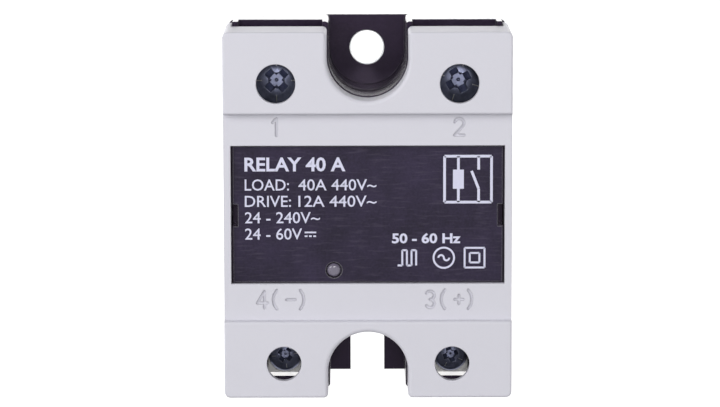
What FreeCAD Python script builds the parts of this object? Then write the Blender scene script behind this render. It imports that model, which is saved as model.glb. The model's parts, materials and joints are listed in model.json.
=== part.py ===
"""Solid state relay for panel mounting: aluminium base plate, black housing, clip-on cover, two power and two
control screw terminals, and the power and driver electronics that sit between the plate and the cover.

The relay stands on its control end. X runs across it, Z runs up towards the power terminals, and Y runs
from the cover towards the mounting face. Every place along Y is given as a distance in front of the mounting
face, called depth here: the base plate starts at depth 0 and the cover's outer face is at overall_depth."""

import FreeCAD, Part

import math
import os
import re

import Sketcher

doc = FreeCAD.newDocument("solid_state_relay")
sheet = doc.addObject("Spreadsheet::Sheet", "Sizes")

# Millimetres. Each alias is one size that can be changed by itself.
SIZES = [
    # envelope
    ("overall_width", 44.8, "across the cover's flanks"),
    ("overall_length", 58.2, "base plate and housing, end to end"),
    ("overall_depth", 28.8, "mounting face to the cover's outer face"),
    # base plate and its fixings
    ("plate_inset", 0.4, "base plate and lower housing behind the cover's flanks"),
    ("plate_thickness", 3.0, ""),
    ("plate_corner", 1.2, "corner radius"),
    ("mount_inset", 5.3, "each fixing screw from its end of the plate"),
    ("mount_radius", 2.6, "round fixing hole in the plate"),
    ("slot_radius", 2.75, "half the width of the open slot"),
    ("seal_thickness", 0.2, "silicone bead between plate and housing"),
    # housing
    ("flange_thickness", 1.0, "housing floor round the fixing screws"),
    ("flange_radius", 2.8, "fixing hole in that floor"),
    ("notch_radius", 6.0, "housing wall round a fixing screw"),
    ("notch_relief", 0.15, "how much wider the notch is above the shoulder"),
    ("notch_wall", 0.9, "wall between a notch and the chambers beside it"),
    ("shoulder_depth", 14.7, "ledge that the cover's skirt stops above"),
    ("deck_gap", 0.1, "housing's front face behind the cover's middle band"),
    ("deck_thickness", 1.5, ""),
    ("flank_wall", 0.85, "upper housing wall inside the skirt"),
    ("partition_wall", 1.45, "between the driver cavity and a terminal chamber"),
    ("power_chamber", 13.8, "length of a power terminal chamber"),
    ("control_chamber", 11.6, "length of a control terminal chamber"),
    ("core_top", 8.0, "cored underside of the terminal blocks"),
    ("core_wall", 1.6, "wall round the cored underside"),
    ("post_side", 2.0, "square posts that carry the circuit board"),
    # cover
    ("flank_thickness", 1.1, "cover's side skirts and end walls"),
    ("face_thickness", 1.35, "cover's front over the terminals"),
    ("band_drop", 1.5, "middle band below the outer face"),
    ("band_thickness", 1.1, ""),
    ("power_face", 12.75, "raised front over the power terminals"),
    ("control_face", 12.05, "raised front over the control terminals"),
    ("cover_setback", 1.0, "cover's power end below the plate's end"),
    ("end_draft", 0.5, "lean of the cover's power end"),
    ("cover_corner", 0.9, "corner radius of the cover"),
    ("cover_edge", 0.35, "rounding of the cover's front edges"),
    ("mouth_corner", 0.65, "rounding where the notches open at the ends"),
    ("cover_clearance", 0.15, "gap between cover and housing"),
    ("rim_length", 6.0, "the cover's notch rims, from its outer face"),
    ("power_rim_gap", 0.35, "cover notch at the power end wider than the housing's"),
    ("control_rim_gap", 0.25, "the same at the control end"),
    ("control_rim_drop", 1.2, "centre of that notch below the fixing screw"),
    ("rim_thickness", 0.9, ""),
    ("lip_length", 8.2, "the cover's end lips, from its outer face"),
    ("tab_reach", 0.6, "stop tab on a lip"),
    ("tab_width", 4.7, ""),
    ("snap_length", 5.0, "snap windows in the cover's skirts"),
    ("snap_rise", 1.8, ""),
    ("snap_depth", 17.2, "their lower edge above the mounting face"),
    ("snap_inset", 14.5, "from the middle of the relay"),
    ("snap_proud", 0.1, "snap nubs on the housing"),
    ("window_side", 1.1, "cover left beside the label window"),
    ("window_low_gap", 5.75, "window above the control terminals' raised front"),
    ("window_top_gap", 5.0, "window below the power terminals' raised front"),
    ("mark_height", 2.6, "engraved terminal numbers"),
    ("mark_stroke", 0.2, "half the width of an engraved line"),
    ("mark_sink", 0.25, "depth of the engraving"),
    # label, light guide and release slots
    ("label_thickness", 0.2, ""),
    ("label_margin", 0.35, "deck left round the label"),
    ("guide_radius", 1.08, "light guide"),
    ("guide_offset", 5.3, "light guide left of centre"),
    ("guide_rise", 2.0, "light guide above the window's lower edge"),
    ("guide_proud", 0.45, "dome above the deck"),
    ("release_rise", 10.65, "middle of the release slots above the window's lower edge"),
    ("release_length", 3.3, ""),
    ("release_width", 0.8, ""),
    # terminals
    ("power_offset", 14.2, "power screws from the centre line"),
    ("power_inset", 9.0, "power screws from the power end"),
    ("power_access", 3.05, "driver hole radius in the cover"),
    ("control_offset", 13.1, "control screws from the centre line"),
    ("control_inset", 5.4, "control screws from the control end"),
    ("control_access", 2.7, "driver hole radius in the cover"),
    ("power_shelf", 15.4, "moulded floor under a power terminal"),
    ("control_shelf", 15.4, "moulded floor under a control terminal"),
    ("power_bar", 1.2, "busbar thickness"),
    ("power_bar_width", 7.0, ""),
    ("bar_standoff", 0.6, "busbar from the cavity's end wall"),
    ("control_bar", 0.8, "control terminal strip thickness"),
    ("control_bar_width", 5.0, ""),
    ("power_thread", 2.5, "M5 screw radius"),
    ("power_head", 4.3, "head radius"),
    ("power_head_height", 3.1, ""),
    ("power_screw_length", 11.0, "under the head"),
    ("power_clamp", 2.1, "clamp plate thickness"),
    ("power_clamp_side", 8.8, ""),
    ("power_lock", 1.1, "spring washer thickness"),
    ("power_nut", 4.0, "nut thickness"),
    ("power_nut_flats", 8.0, "across flats"),
    ("control_thread", 1.5, "M3 screw radius"),
    ("control_head", 2.7, "head radius"),
    ("control_head_height", 2.2, ""),
    ("control_screw_length", 8.0, "under the head"),
    ("control_clamp", 1.5, "clamp plate thickness"),
    ("control_clamp_side", 8.2, ""),
    ("control_lock", 1.0, "spring washer thickness"),
    ("control_nut", 2.4, "nut thickness"),
    ("control_nut_flats", 5.5, "across flats"),
    ("thread_clearance", 0.05, "screw in its nut, washers and clamp"),
    ("seat_clearance", 0.1, "nut in its pocket, strip in its slot"),
    # power electronics on the plate
    ("ceramic_width", 35.6, "alumina substrate"),
    ("ceramic_low_gap", 3.35, "ceramic above the cavity's lower wall"),
    ("ceramic_top_gap", 0.45, "ceramic below the cavity's upper wall"),
    ("ceramic_thickness", 0.63, ""),
    ("copper_thickness", 0.3, "conductor on the ceramic"),
    ("copper_gap", 2.0, "between the two conductors"),
    ("copper_border", 0.4, "bare ceramic at the edge"),
    ("chip_side", 9.0, "thyristor chip"),
    ("chip_thickness", 0.35, ""),
    ("chip_offset", 7.8, "chip centre from the centre line"),
    ("chip_rise", 9.6, "chip centre above the ceramic's lower edge"),
    ("strap_thickness", 0.5, "copper strap from a chip to the far conductor"),
    ("strap_width", 4.0, ""),
    ("strap_rise", 1.2, "arch of a strap over the gap"),
    # driver board
    ("board_depth", 14.0, "underside of the board"),
    ("board_thickness", 1.2, ""),
    ("board_margin", 0.2, "board inside the cavity"),
    ("board_gap", 0.5, "board from the busbars"),
    ("pin_radius", 0.35, "gate pins"),
    ("pin_proud", 1.0, "pin ends above the board"),
    ("standoff_height", 0.3, "components above the board"),
    ("coupler_width", 6.4, "optocoupler body"),
    ("coupler_length", 8.6, ""),
    ("coupler_height", 3.4, ""),
    ("coupler_pitch", 2.54, "between its pins"),
    ("rectifier_width", 7.0, "bridge rectifier"),
    ("rectifier_length", 6.0, ""),
    ("rectifier_height", 3.2, ""),
    ("smoothing_radius", 3.15, "electrolytic capacitor"),
    ("smoothing_height", 7.0, ""),
    ("resistor_radius", 1.1, "input resistors"),
    ("resistor_length", 6.3, ""),
    ("snubber_width", 5.0, "film capacitor"),
    ("snubber_length", 11.0, ""),
    ("snubber_height", 8.0, ""),
    ("damper_radius", 1.4, "snubber resistor"),
    ("damper_length", 8.0, ""),
    ("varistor_radius", 3.6, ""),
    ("varistor_thickness", 3.4, ""),
    ("lamp_radius", 1.5, "status light under the guide"),
    ("lamp_height", 5.6, ""),
]

for row, (alias, number, remark) in enumerate(SIZES, start=1):
    sheet.set(f"A{row}", alias)
    sheet.set(f"B{row}", str(number))
    sheet.setAlias(f"B{row}", alias)
    sheet.set(f"C{row}", remark)
doc.recompute()

ALIAS = re.compile(r"[a-z]+(?:_[a-z]+)+")
FAR = 5.0  # how far a cutting prism runs past the face that it opens
cuts = []
parts = []


def bound(text):
    """A size in words, such as "overall_width / 2", as an expression on the sheet."""
    return ALIAS.sub(lambda found: "Sizes." + found.group(0), str(text))


def size(alias):
    return float(sheet.get(alias))


def finished(thing, label):
    """Names a finished sub-part and puts it on the list of parts to write."""
    thing.Label = label
    parts.append(thing)
    return thing


# ---------------------------------------------------------------- PartDesign bodies


def new_body(label):
    """A body whose own XZ plane is the mounting face, so that depth runs out of it towards the cover."""
    made = doc.addObject("PartDesign::Body", label)
    made.setExpression("Placement.Base.y", bound("overall_depth / 2"))
    return finished(made, label)


def new_sketch(body, role, offset):
    """A sketch on one of the body's origin planes, moved along the plane's normal by offset."""
    sketch = body.newObject("Sketcher::SketchObject", "Outline")
    plane = [feature for feature in body.Origin.OriginFeatures if feature.Role == role][0]
    sketch.AttachmentSupport = [(plane, "")]
    sketch.MapMode = "FlatFace"
    sketch.setExpression("AttachmentOffset.Base.z", bound(offset))
    return sketch


def add_outline(sketch, points):
    """A closed outline of straight lines through points, each held by its two distances from the origin."""
    first = sketch.GeometryCount
    count = len(points)
    turns = [2 * math.pi * index / count for index in range(count + 1)]
    corners = [FreeCAD.Vector(math.cos(turn), math.sin(turn), 0) for turn in turns]
    for index in range(count):
        sketch.addGeometry(Part.LineSegment(corners[index], corners[index + 1]), False)
    for index, (across, along) in enumerate(points):
        line = first + index
        following = first + (index + 1) % count
        sketch.addConstraint(Sketcher.Constraint("Coincident", line, 2, following, 1))
        for kind, place in (("DistanceX", across), ("DistanceY", along)):
            held = sketch.addConstraint(Sketcher.Constraint(kind, -1, 1, line, 1, 1.0))
            sketch.setExpression(f"Constraints[{held}]", bound(place))


def add_circle(sketch, across, along, radius):
    centre = FreeCAD.Vector(1, 1, 0)
    line = sketch.addGeometry(Part.Circle(centre, FreeCAD.Vector(0, 0, 1), 1.0), False)
    held = sketch.addConstraint(Sketcher.Constraint("Radius", line, 1.0))
    sketch.setExpression(f"Constraints[{held}]", bound(radius))
    for kind, place in (("DistanceX", across), ("DistanceY", along)):
        held = sketch.addConstraint(Sketcher.Constraint(kind, -1, 1, line, 3, 1.0))
        sketch.setExpression(f"Constraints[{held}]", bound(place))


def draw(sketch, shapes):
    """Draws circles (across, along, radius), rectangles (left, right, low, high) and outlines, which are lists."""
    for shape in shapes:
        if isinstance(shape, list):
            add_outline(sketch, shape)
        elif len(shape) == 3:
            add_circle(sketch, *shape)
        else:
            left, right, low, high = shape
            add_outline(sketch, [(left, low), (right, low), (right, high), (left, high)])


def pad(body, role, shapes, start, end):
    """Adds material between start and end along the normal of the plane."""
    sketch = new_sketch(body, role, start)
    draw(sketch, shapes)
    feature = body.newObject("PartDesign::Pad", "Pad")
    feature.Profile = sketch
    feature.setExpression("Length", bound(f"({end}) - ({start})"))
    body.Tip = feature
    return feature


def pocket(body, role, shapes, start, end):
    """Takes material away between start and end along the normal of the plane."""
    sketch = new_sketch(body, role, end)
    draw(sketch, shapes)
    feature = body.newObject("PartDesign::Pocket", "Pocket")
    feature.Profile = sketch
    feature.setExpression("Length", bound(f"({end}) - ({start})"))
    body.Tip = feature
    cuts.append(feature)
    return feature


def front_pad(body, shapes, start, end):
    return pad(body, "XZ_Plane", shapes, start, end)


def front_pocket(body, shapes, start, end):
    return pocket(body, "XZ_Plane", shapes, start, end)


def side_pad(body, outline, left, right):
    """A prism across the relay. The outline's points are (depth, height)."""
    return pad(body, "YZ_Plane", [[(f"-({deep})", high) for deep, high in outline]], left, right)


def side_pocket(body, outline, left, right):
    return pocket(body, "YZ_Plane", [[(f"-({deep})", high) for deep, high in outline]], left, right)


def up_pad(body, outline, low, high):
    """A prism along the relay. The outline's points are (x, depth)."""
    return pad(body, "XY_Plane", [[(across, f"-({deep})") for across, deep in outline]], low, high)


def mirrored(shapes):
    """The rectangles and circles, and the same ones on the other side of the centre line."""
    both = list(shapes)
    for shape in shapes:
        if len(shape) == 3:
            both.append((f"-({shape[0]})", shape[1], shape[2]))
        else:
            both.append((f"-({shape[1]})", f"-({shape[0]})", shape[2], shape[3]))
    return both


def round_edges(body, radius, wanted):
    """Rounds the edges of the body so far for which wanted(edge) is true."""
    doc.recompute()
    base = body.Tip
    names = [f"Edge{n}" for n, edge in enumerate(base.Shape.Edges, start=1) if wanted(edge)]
    feature = body.newObject("PartDesign::Fillet", "Fillet")
    feature.Base = (base, names)
    feature.setExpression("Radius", bound(radius))
    body.Tip = feature
    return feature


def runs_along(edge, axis):
    """Whether an edge is a straight line along one axis of the body."""
    if edge.Curve.TypeId != "Part::GeomLine":
        return False
    return abs(abs(edge.tangentAt(edge.FirstParameter)[axis]) - 1) < 1e-6


def near(value, target):
    return abs(value - target) < 1e-4


# ---------------------------------------------------------------- Part primitives


def block(left, right, low, high, start, end):
    """A box between two places across, two heights and two depths."""
    made = doc.addObject("Part::Box", "Block")
    made.setExpression("Length", bound(f"({right}) - ({left})"))
    made.setExpression("Height", bound(f"({high}) - ({low})"))
    made.setExpression("Width", bound(f"({end}) - ({start})"))
    made.setExpression("Placement.Base.x", bound(left))
    made.setExpression("Placement.Base.z", bound(low))
    made.setExpression("Placement.Base.y", bound(f"overall_depth / 2 - ({end})"))
    return made


def rod(across, height, radius, start, end):
    """A cylinder that stands along depth."""
    made = doc.addObject("Part::Cylinder", "Rod")
    made.Placement.Rotation = FreeCAD.Rotation(FreeCAD.Vector(1, 0, 0), 90)
    made.setExpression("Radius", bound(radius))
    made.setExpression("Height", bound(f"({end}) - ({start})"))
    made.setExpression("Placement.Base.x", bound(across))
    made.setExpression("Placement.Base.z", bound(height))
    made.setExpression("Placement.Base.y", bound(f"overall_depth / 2 - ({start})"))
    return made


def lying_rod(left, right, height, depth, radius):
    """A cylinder that lies across the relay."""
    made = doc.addObject("Part::Cylinder", "Rod")
    made.Placement.Rotation = FreeCAD.Rotation(FreeCAD.Vector(0, 1, 0), 90)
    made.setExpression("Radius", bound(radius))
    made.setExpression("Height", bound(f"({right}) - ({left})"))
    made.setExpression("Placement.Base.x", bound(left))
    made.setExpression("Placement.Base.z", bound(height))
    made.setExpression("Placement.Base.y", bound(f"overall_depth / 2 - ({depth})"))
    return made


def rounded(base, radius, wanted):
    """A copy of a primitive with the wanted edges rounded."""
    doc.recompute()
    made = doc.addObject("Part::Fillet", "Rounded")
    made.Base = base
    chosen = [n for n, edge in enumerate(base.Shape.Edges, start=1) if wanted(edge)]
    made.Edges = [(n, radius, radius) for n in chosen]
    return made


def group(members):
    """Separate solids, or touching ones, as one shape."""
    made = doc.addObject("Part::MultiFuse", "Group")
    made.Shapes = members
    return made


def cut_from(base, tool):
    made = doc.addObject("Part::Cut", "Cut")
    made.Base = base
    made.Tool = tool
    return made


def round_front(base, radius):
    """A copy of a rod with the rim nearest to the cover rounded."""
    doc.recompute()
    front = base.Shape.BoundBox.YMin

    def is_front_rim(edge):
        return edge.Curve.TypeId == "Part::GeomCircle" and near(edge.CenterOfMass.y, front)

    return rounded(base, radius, is_front_rim)


# ---------------------------------------------------------------- places that several parts share

MIDDLE = "overall_length / 2"
UPPER_MOUNT = "(overall_length - mount_inset)"
LOWER_MOUNT = "mount_inset"
TOP = "overall_length"
BEYOND = f"(overall_length + {FAR})"
BEFORE = f"-{FAR}"
SEAT = "(plate_thickness + seal_thickness)"
FLOOR = f"({SEAT} + flange_thickness)"
PLATE_HALF = "(overall_width / 2 - plate_inset)"
SKIRT_INSIDE = "(overall_width / 2 - flank_thickness)"
UPPER_HALF = f"({SKIRT_INSIDE} - cover_clearance)"
CAVITY_HALF = f"({UPPER_HALF} - flank_wall)"
POWER_WALL = "(overall_length - power_chamber)"
CAVITY_TOP = f"({POWER_WALL} - partition_wall)"
CAVITY_LOW = "(control_chamber + partition_wall)"
COVER_TOP = "(overall_length - cover_setback)"
BAND_FACE = "(overall_depth - band_drop)"
BAND_BACK = f"({BAND_FACE} - band_thickness)"
DECK = f"({BAND_BACK} - deck_gap)"
CEILING = f"({DECK} - deck_thickness)"
FACE_BACK = "(overall_depth - face_thickness)"
POWER_STEP = f"({COVER_TOP} - power_face)"
WINDOW_HALF = "(overall_width / 2 - window_side)"
WINDOW_LOW = "(control_face + window_low_gap)"
WINDOW_TOP = f"({POWER_STEP} - window_top_gap)"
GUIDE_HEIGHT = f"({WINDOW_LOW} + guide_rise)"
RELEASE_LOW = f"({WINDOW_LOW} + release_rise - release_length / 2)"
RELEASE_TOP = f"({WINDOW_LOW} + release_rise + release_length / 2)"
RIM = "(overall_depth - rim_length)"
LIP = "(overall_depth - lip_length)"
POWER_RIM = "(notch_radius + power_rim_gap)"
CONTROL_RIM = "(notch_radius + control_rim_gap)"
CONTROL_RIM_HEIGHT = f"({LOWER_MOUNT} - control_rim_drop)"
CHAMBER_INNER = "(notch_radius + notch_relief + notch_wall)"
POWER_HEIGHT = "(overall_length - power_inset)"
CONTROL_HEIGHT = "control_inset"
TERMINALS = (("power", POWER_HEIGHT), ("control", CONTROL_HEIGHT))
CERAMIC_BACK = "plate_thickness"
COPPER_BACK = f"({CERAMIC_BACK} + ceramic_thickness)"
COPPER_FACE = f"({COPPER_BACK} + copper_thickness)"
CHIP_FACE = f"({COPPER_FACE} + chip_thickness)"
CERAMIC_LOW = f"({CAVITY_LOW} + ceramic_low_gap)"
CERAMIC_TOP = f"({CAVITY_TOP} - ceramic_top_gap)"
CHIP_HEIGHT = f"({CERAMIC_LOW} + chip_rise)"
BOARD_FACE = "(board_depth + board_thickness)"
BOARD_LOW = f"({CAVITY_LOW} + board_margin)"
BOARD_TOP = f"({CAVITY_TOP} - bar_standoff - power_bar - board_gap)"


# ---------------------------------------------------------------- base plate, seal and housing


def make_base_plate():
    """Aluminium plate that carries the ceramic and passes the heat on: one round hole and one open slot."""
    plate = new_body("base_plate")
    front_pad(plate, [(f"-{PLATE_HALF}", PLATE_HALF, "0", TOP)], "0", "plate_thickness")
    front_pocket(plate, [("0", UPPER_MOUNT, "mount_radius")], f"-{FAR}", f"plate_thickness + {FAR}")
    front_pocket(plate, [("0", LOWER_MOUNT, "slot_radius")], f"-{FAR}", f"plate_thickness + {FAR}")
    slot = ("-slot_radius", "slot_radius", BEFORE, LOWER_MOUNT)
    front_pocket(plate, [slot], f"-{FAR}", f"plate_thickness + {FAR}")
    half = size("overall_width") / 2 - size("plate_inset")

    def is_corner(edge):
        return runs_along(edge, 1) and near(abs(edge.CenterOfMass.x), half)

    round_edges(plate, "plate_corner", is_corner)


def notch_shapes(radius, grow="0"):
    """The round end and the straight mouth of the notch at the power end, as two cuts."""
    wide = f"({radius} + {grow})"
    return ("0", UPPER_MOUNT, wide), (f"-{wide}", wide, UPPER_MOUNT, BEYOND)


def lower_notch_shapes(radius, height, grow="0"):
    """The same at the control end, round a centre at the given height."""
    wide = f"({radius} + {grow})"
    return ("0", height, wide), (f"-{wide}", wide, BEFORE, height)


def make_seal():
    """Bead of silicone between plate and housing, open over the cavity, the cores and the fixing screws."""
    seal = new_body("base_seal")
    half = f"({PLATE_HALF} - core_wall / 3)"
    front_pad(seal, [(f"-{half}", half, "core_wall / 3", f"{TOP} - core_wall / 3")], "plate_thickness", SEAT)
    front_pocket(seal, [(f"-{CAVITY_HALF}", CAVITY_HALF, CAVITY_LOW, CAVITY_TOP)], "0", FLOOR)
    inner = "(notch_radius + core_wall)"
    low_core = (inner, CAVITY_HALF, "core_wall", "control_chamber")
    high_core = (inner, CAVITY_HALF, POWER_WALL, f"{TOP} - core_wall")
    front_pocket(seal, mirrored([low_core, high_core]), "0", FLOOR)
    for shape in notch_shapes("notch_radius", "-core_wall / 2") + lower_notch_shapes(
        "notch_radius", LOWER_MOUNT, "-core_wall / 2"
    ):
        front_pocket(seal, [shape], "0", FLOOR)


def hexagon(across, height, flats):
    """A hexagon with two corners up and down the relay, by its distance across flats."""
    ring = []
    for corner in range(6):
        turn = math.radians(30 + 60 * corner)
        ring.append(
            (
                f"{across} + ({flats}) / sqrt(3) * {math.cos(turn):.9f}",
                f"{height} + ({flats}) / sqrt(3) * {math.sin(turn):.9f}",
            )
        )
    return ring


def snap_spans(shrink="0"):
    """The two stretches of height, low and high, that the snap windows on one flank cover."""
    spans = []
    for middle in (f"{MIDDLE} - snap_inset", f"{MIDDLE} + snap_inset"):
        spans.append((f"{middle} - snap_length / 2 + {shrink}", f"{middle} + snap_length / 2 - {shrink}"))
    return spans


def make_housing():
    """Black moulding: driver cavity, four terminal chambers, and a notch and floor round each fixing screw."""
    housing = new_body("housing")
    past = f"{DECK} + {FAR}"
    front_pad(housing, [(f"-{PLATE_HALF}", PLATE_HALF, "0", TOP)], SEAT, "shoulder_depth")
    front_pad(housing, [(f"-{UPPER_HALF}", UPPER_HALF, "0", TOP)], "shoulder_depth", DECK)
    # driver cavity and the cored underside of the terminal blocks
    front_pocket(housing, [(f"-{CAVITY_HALF}", CAVITY_HALF, CAVITY_LOW, CAVITY_TOP)], "0", CEILING)
    inner = "(notch_radius + core_wall)"
    low_core = (inner, CAVITY_HALF, "core_wall", "control_chamber")
    high_core = (inner, CAVITY_HALF, POWER_WALL, f"{TOP} - core_wall")
    front_pocket(housing, mirrored([low_core, high_core]), "0", "core_top")
    # terminal chambers, open to the front and to their ends
    power = (CHAMBER_INNER, CAVITY_HALF, POWER_WALL, BEYOND)
    control = (CHAMBER_INNER, CAVITY_HALF, BEFORE, "control_chamber")
    front_pocket(housing, mirrored([power]), "power_shelf", past)
    front_pocket(housing, mirrored([control]), "control_shelf", past)
    # notches for the heads of the fixing screws, and the fixing holes in their floors
    for shape in notch_shapes("notch_radius") + lower_notch_shapes("notch_radius", LOWER_MOUNT):
        front_pocket(housing, [shape], FLOOR, past)
    ends = (0.0, size("overall_length"))
    mouth = size("notch_radius")

    def is_mouth(edge):
        place = edge.CenterOfMass
        deep = edge.Length > size("shoulder_depth")
        return deep and runs_along(edge, 1) and near(abs(place.x), mouth) and any(near(place.z, end) for end in ends)

    round_edges(housing, "mouth_corner", is_mouth)
    for shape in notch_shapes("notch_radius", "notch_relief"):
        front_pocket(housing, [shape], "shoulder_depth", past)
    front_pocket(housing, [("0", UPPER_MOUNT, "flange_radius")], "0", FLOOR)
    for shape in lower_notch_shapes("slot_radius", LOWER_MOUNT):
        front_pocket(housing, [shape], "0", FLOOR)
    # room for the cover's notch rims and end lips
    grow = "rim_thickness + cover_clearance"
    rim_room = f"{RIM} - cover_clearance"
    low_rim = lower_notch_shapes(CONTROL_RIM, CONTROL_RIM_HEIGHT, grow)
    for shape in notch_shapes(POWER_RIM, grow) + low_rim:
        front_pocket(housing, [shape], rim_room, past)
    wide = f"({PLATE_HALF} + {FAR})"
    lip_room = "(flank_thickness + cover_clearance)"
    low_band = (f"-{wide}", wide, BEFORE, lip_room)
    high_band = (f"-{wide}", wide, f"{COVER_TOP} - {lip_room}", BEYOND)
    front_pocket(housing, [low_band, high_band], f"{LIP} - tab_reach - cover_clearance", past)
    # screws, nuts and strips
    for kind, height in TERMINALS:
        shelf = f"{kind}_shelf"
        stack = f"{kind}_bar + {kind}_clamp + {kind}_lock - {kind}_screw_length"
        for across in (f"{kind}_offset", f"-{kind}_offset"):
            nut_room = hexagon(across, height, f"{kind}_nut_flats + 2 * seat_clearance")
            front_pocket(housing, [nut_room], f"{shelf} - {kind}_nut - seat_clearance", shelf)
            shank = (across, height, f"{kind}_thread + 2 * seat_clearance")
            front_pocket(housing, [shank], f"{shelf} + {stack} - 3 * seat_clearance", shelf)
    bar_half = "(power_bar_width / 2 + seat_clearance)"
    bar = (f"power_offset - {bar_half}", f"power_offset + {bar_half}", CAVITY_TOP, POWER_WALL)
    front_pocket(housing, mirrored([bar]), "power_shelf", "power_shelf + power_bar + seat_clearance")
    strip_half = "(control_bar_width / 2 + seat_clearance)"
    strip = (
        f"control_offset - {strip_half}",
        f"control_offset + {strip_half}",
        "control_chamber",
        CAVITY_LOW,
    )
    front_pocket(housing, mirrored([strip]), "control_shelf", "control_shelf + control_bar + seat_clearance")
    # light guide and release slots in the deck
    guide = ("-guide_offset", GUIDE_HEIGHT, "guide_radius + seat_clearance")
    front_pocket(housing, [guide], CEILING, past)
    slot = (
        f"{WINDOW_HALF} - release_width - cover_clearance",
        f"{WINDOW_HALF} + {FAR}",
        RELEASE_LOW,
        RELEASE_TOP,
    )
    front_pocket(housing, mirrored([slot]), f"{CEILING} - deck_thickness", past)
    # posts under the board's corners
    outer = CAVITY_HALF
    post_inner = f"{CAVITY_HALF} - post_side"
    low_post = (post_inner, outer, CAVITY_LOW, f"{CAVITY_LOW} + post_side")
    high_post = (post_inner, outer, f"{BOARD_TOP} - post_side", BOARD_TOP)
    front_pad(housing, mirrored([low_post, high_post]), SEAT, "board_depth")
    # snap nubs that the cover's windows close over
    nub_outer = f"{UPPER_HALF} + snap_proud"
    nubs = [(UPPER_HALF, nub_outer, low, high) for low, high in snap_spans("cover_clearance")]
    nub_edges = ("snap_depth + cover_clearance", "snap_depth + snap_rise - cover_clearance")
    front_pad(housing, mirrored(nubs), *nub_edges)

    half = size("overall_width") / 2 - size("plate_inset")

    def is_corner(edge):
        place = edge.CenterOfMass
        return runs_along(edge, 1) and near(abs(place.x), half) and any(near(place.z, end) for end in ends)

    round_edges(housing, "plate_corner", is_corner)


# ---------------------------------------------------------------- cover


def stroke(start, end):
    """One straight engraved line between two points of the front face, as a round-ended bar."""
    radius = size("mark_stroke")
    sink = size("mark_sink")
    deep = FreeCAD.Vector(0, sink + 1, 0)
    run = end - start
    ends = [Part.makeCylinder(radius, sink + 1, place, deep) for place in (start, end)]
    side = run.cross(deep).normalize() * radius
    corners = [start - side, end - side, end + side, start + side, start - side]
    bar = Part.Face(Part.makePolygon(corners)).extrude(deep)
    return ends[0].fuse([ends[1], bar])


def bow(centre, radius, first, last):
    """An engraved arc from first to last degrees, counted from +X towards +Z."""
    steps = max(3, int(abs(last - first) / 18))
    places = []
    for index in range(steps + 1):
        turn = math.radians(first + (last - first) * index / steps)
        places.append(centre + FreeCAD.Vector(math.cos(turn), 0, math.sin(turn)) * radius)
    return [stroke(places[index], places[index + 1]) for index in range(steps)]


def character(sign, left, low):
    """The strokes of one generic sign whose cell starts at left and low, on the middle band."""
    tall = size("mark_height")
    face = size("overall_depth") / 2 - (size("overall_depth") - size("band_drop")) - 1
    scale = tall

    def at(across, along):
        return FreeCAD.Vector(left + across * scale, face, low + along * scale)

    lines = {
        "1": [((0.12, 0.78), (0.34, 1)), ((0.34, 1), (0.34, 0))],
        "2": [((0.56, 0.58), (0.04, 0)), ((0.04, 0), (0.6, 0))],
        "3": [],
        "4": [((0.44, 0), (0.44, 1)), ((0.44, 1), (0.02, 0.3)), ((0.02, 0.3), (0.62, 0.3))],
        "-": [((0.06, 0.5), (0.56, 0.5))],
        "+": [((0.06, 0.5), (0.56, 0.5)), ((0.31, 0.25), (0.31, 0.75))],
        "(": [],
        ")": [],
    }
    bows = {
        "2": [((0.32, 0.72), 0.28, 165, -30)],
        "3": [((0.3, 0.75), 0.25, 150, -90), ((0.3, 0.25), 0.25, 90, -150)],
        "(": [((0.95, 0.5), 0.85, 138, 222)],
        ")": [((-0.62, 0.5), 0.85, 42, -42)],
    }
    made = [stroke(at(*start), at(*end)) for start, end in lines[sign]]
    for centre, radius, first, last in bows.get(sign, []):
        made += bow(at(*centre), radius * scale, first, last)
    return made


def make_marks():
    """The numbers and polarity signs beside the terminals, as the solid that engraves them."""
    advance = 0.86 * size("mark_height")
    step = size("overall_length") - size("cover_setback") - size("power_face")
    top_low = step - 1.3 * size("mark_height")
    low = size("control_face") + 0.75 * size("mark_height")
    made = []
    for text, centre, line in (
        ("1", -size("power_offset"), top_low),
        ("2", size("power_offset"), top_low),
        ("4(-)", -size("control_offset"), low),
        ("3(+)", size("control_offset"), low),
    ):
        left = centre - advance * (len(text) - 1) / 2 - 0.32 * size("mark_height")
        for index, sign in enumerate(text):
            made += character(sign, left + advance * index, line)
    tool = doc.addObject("Part::Feature", "Engraving")
    tool.Shape = made[0].fuse(made[1:])
    return tool


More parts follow.
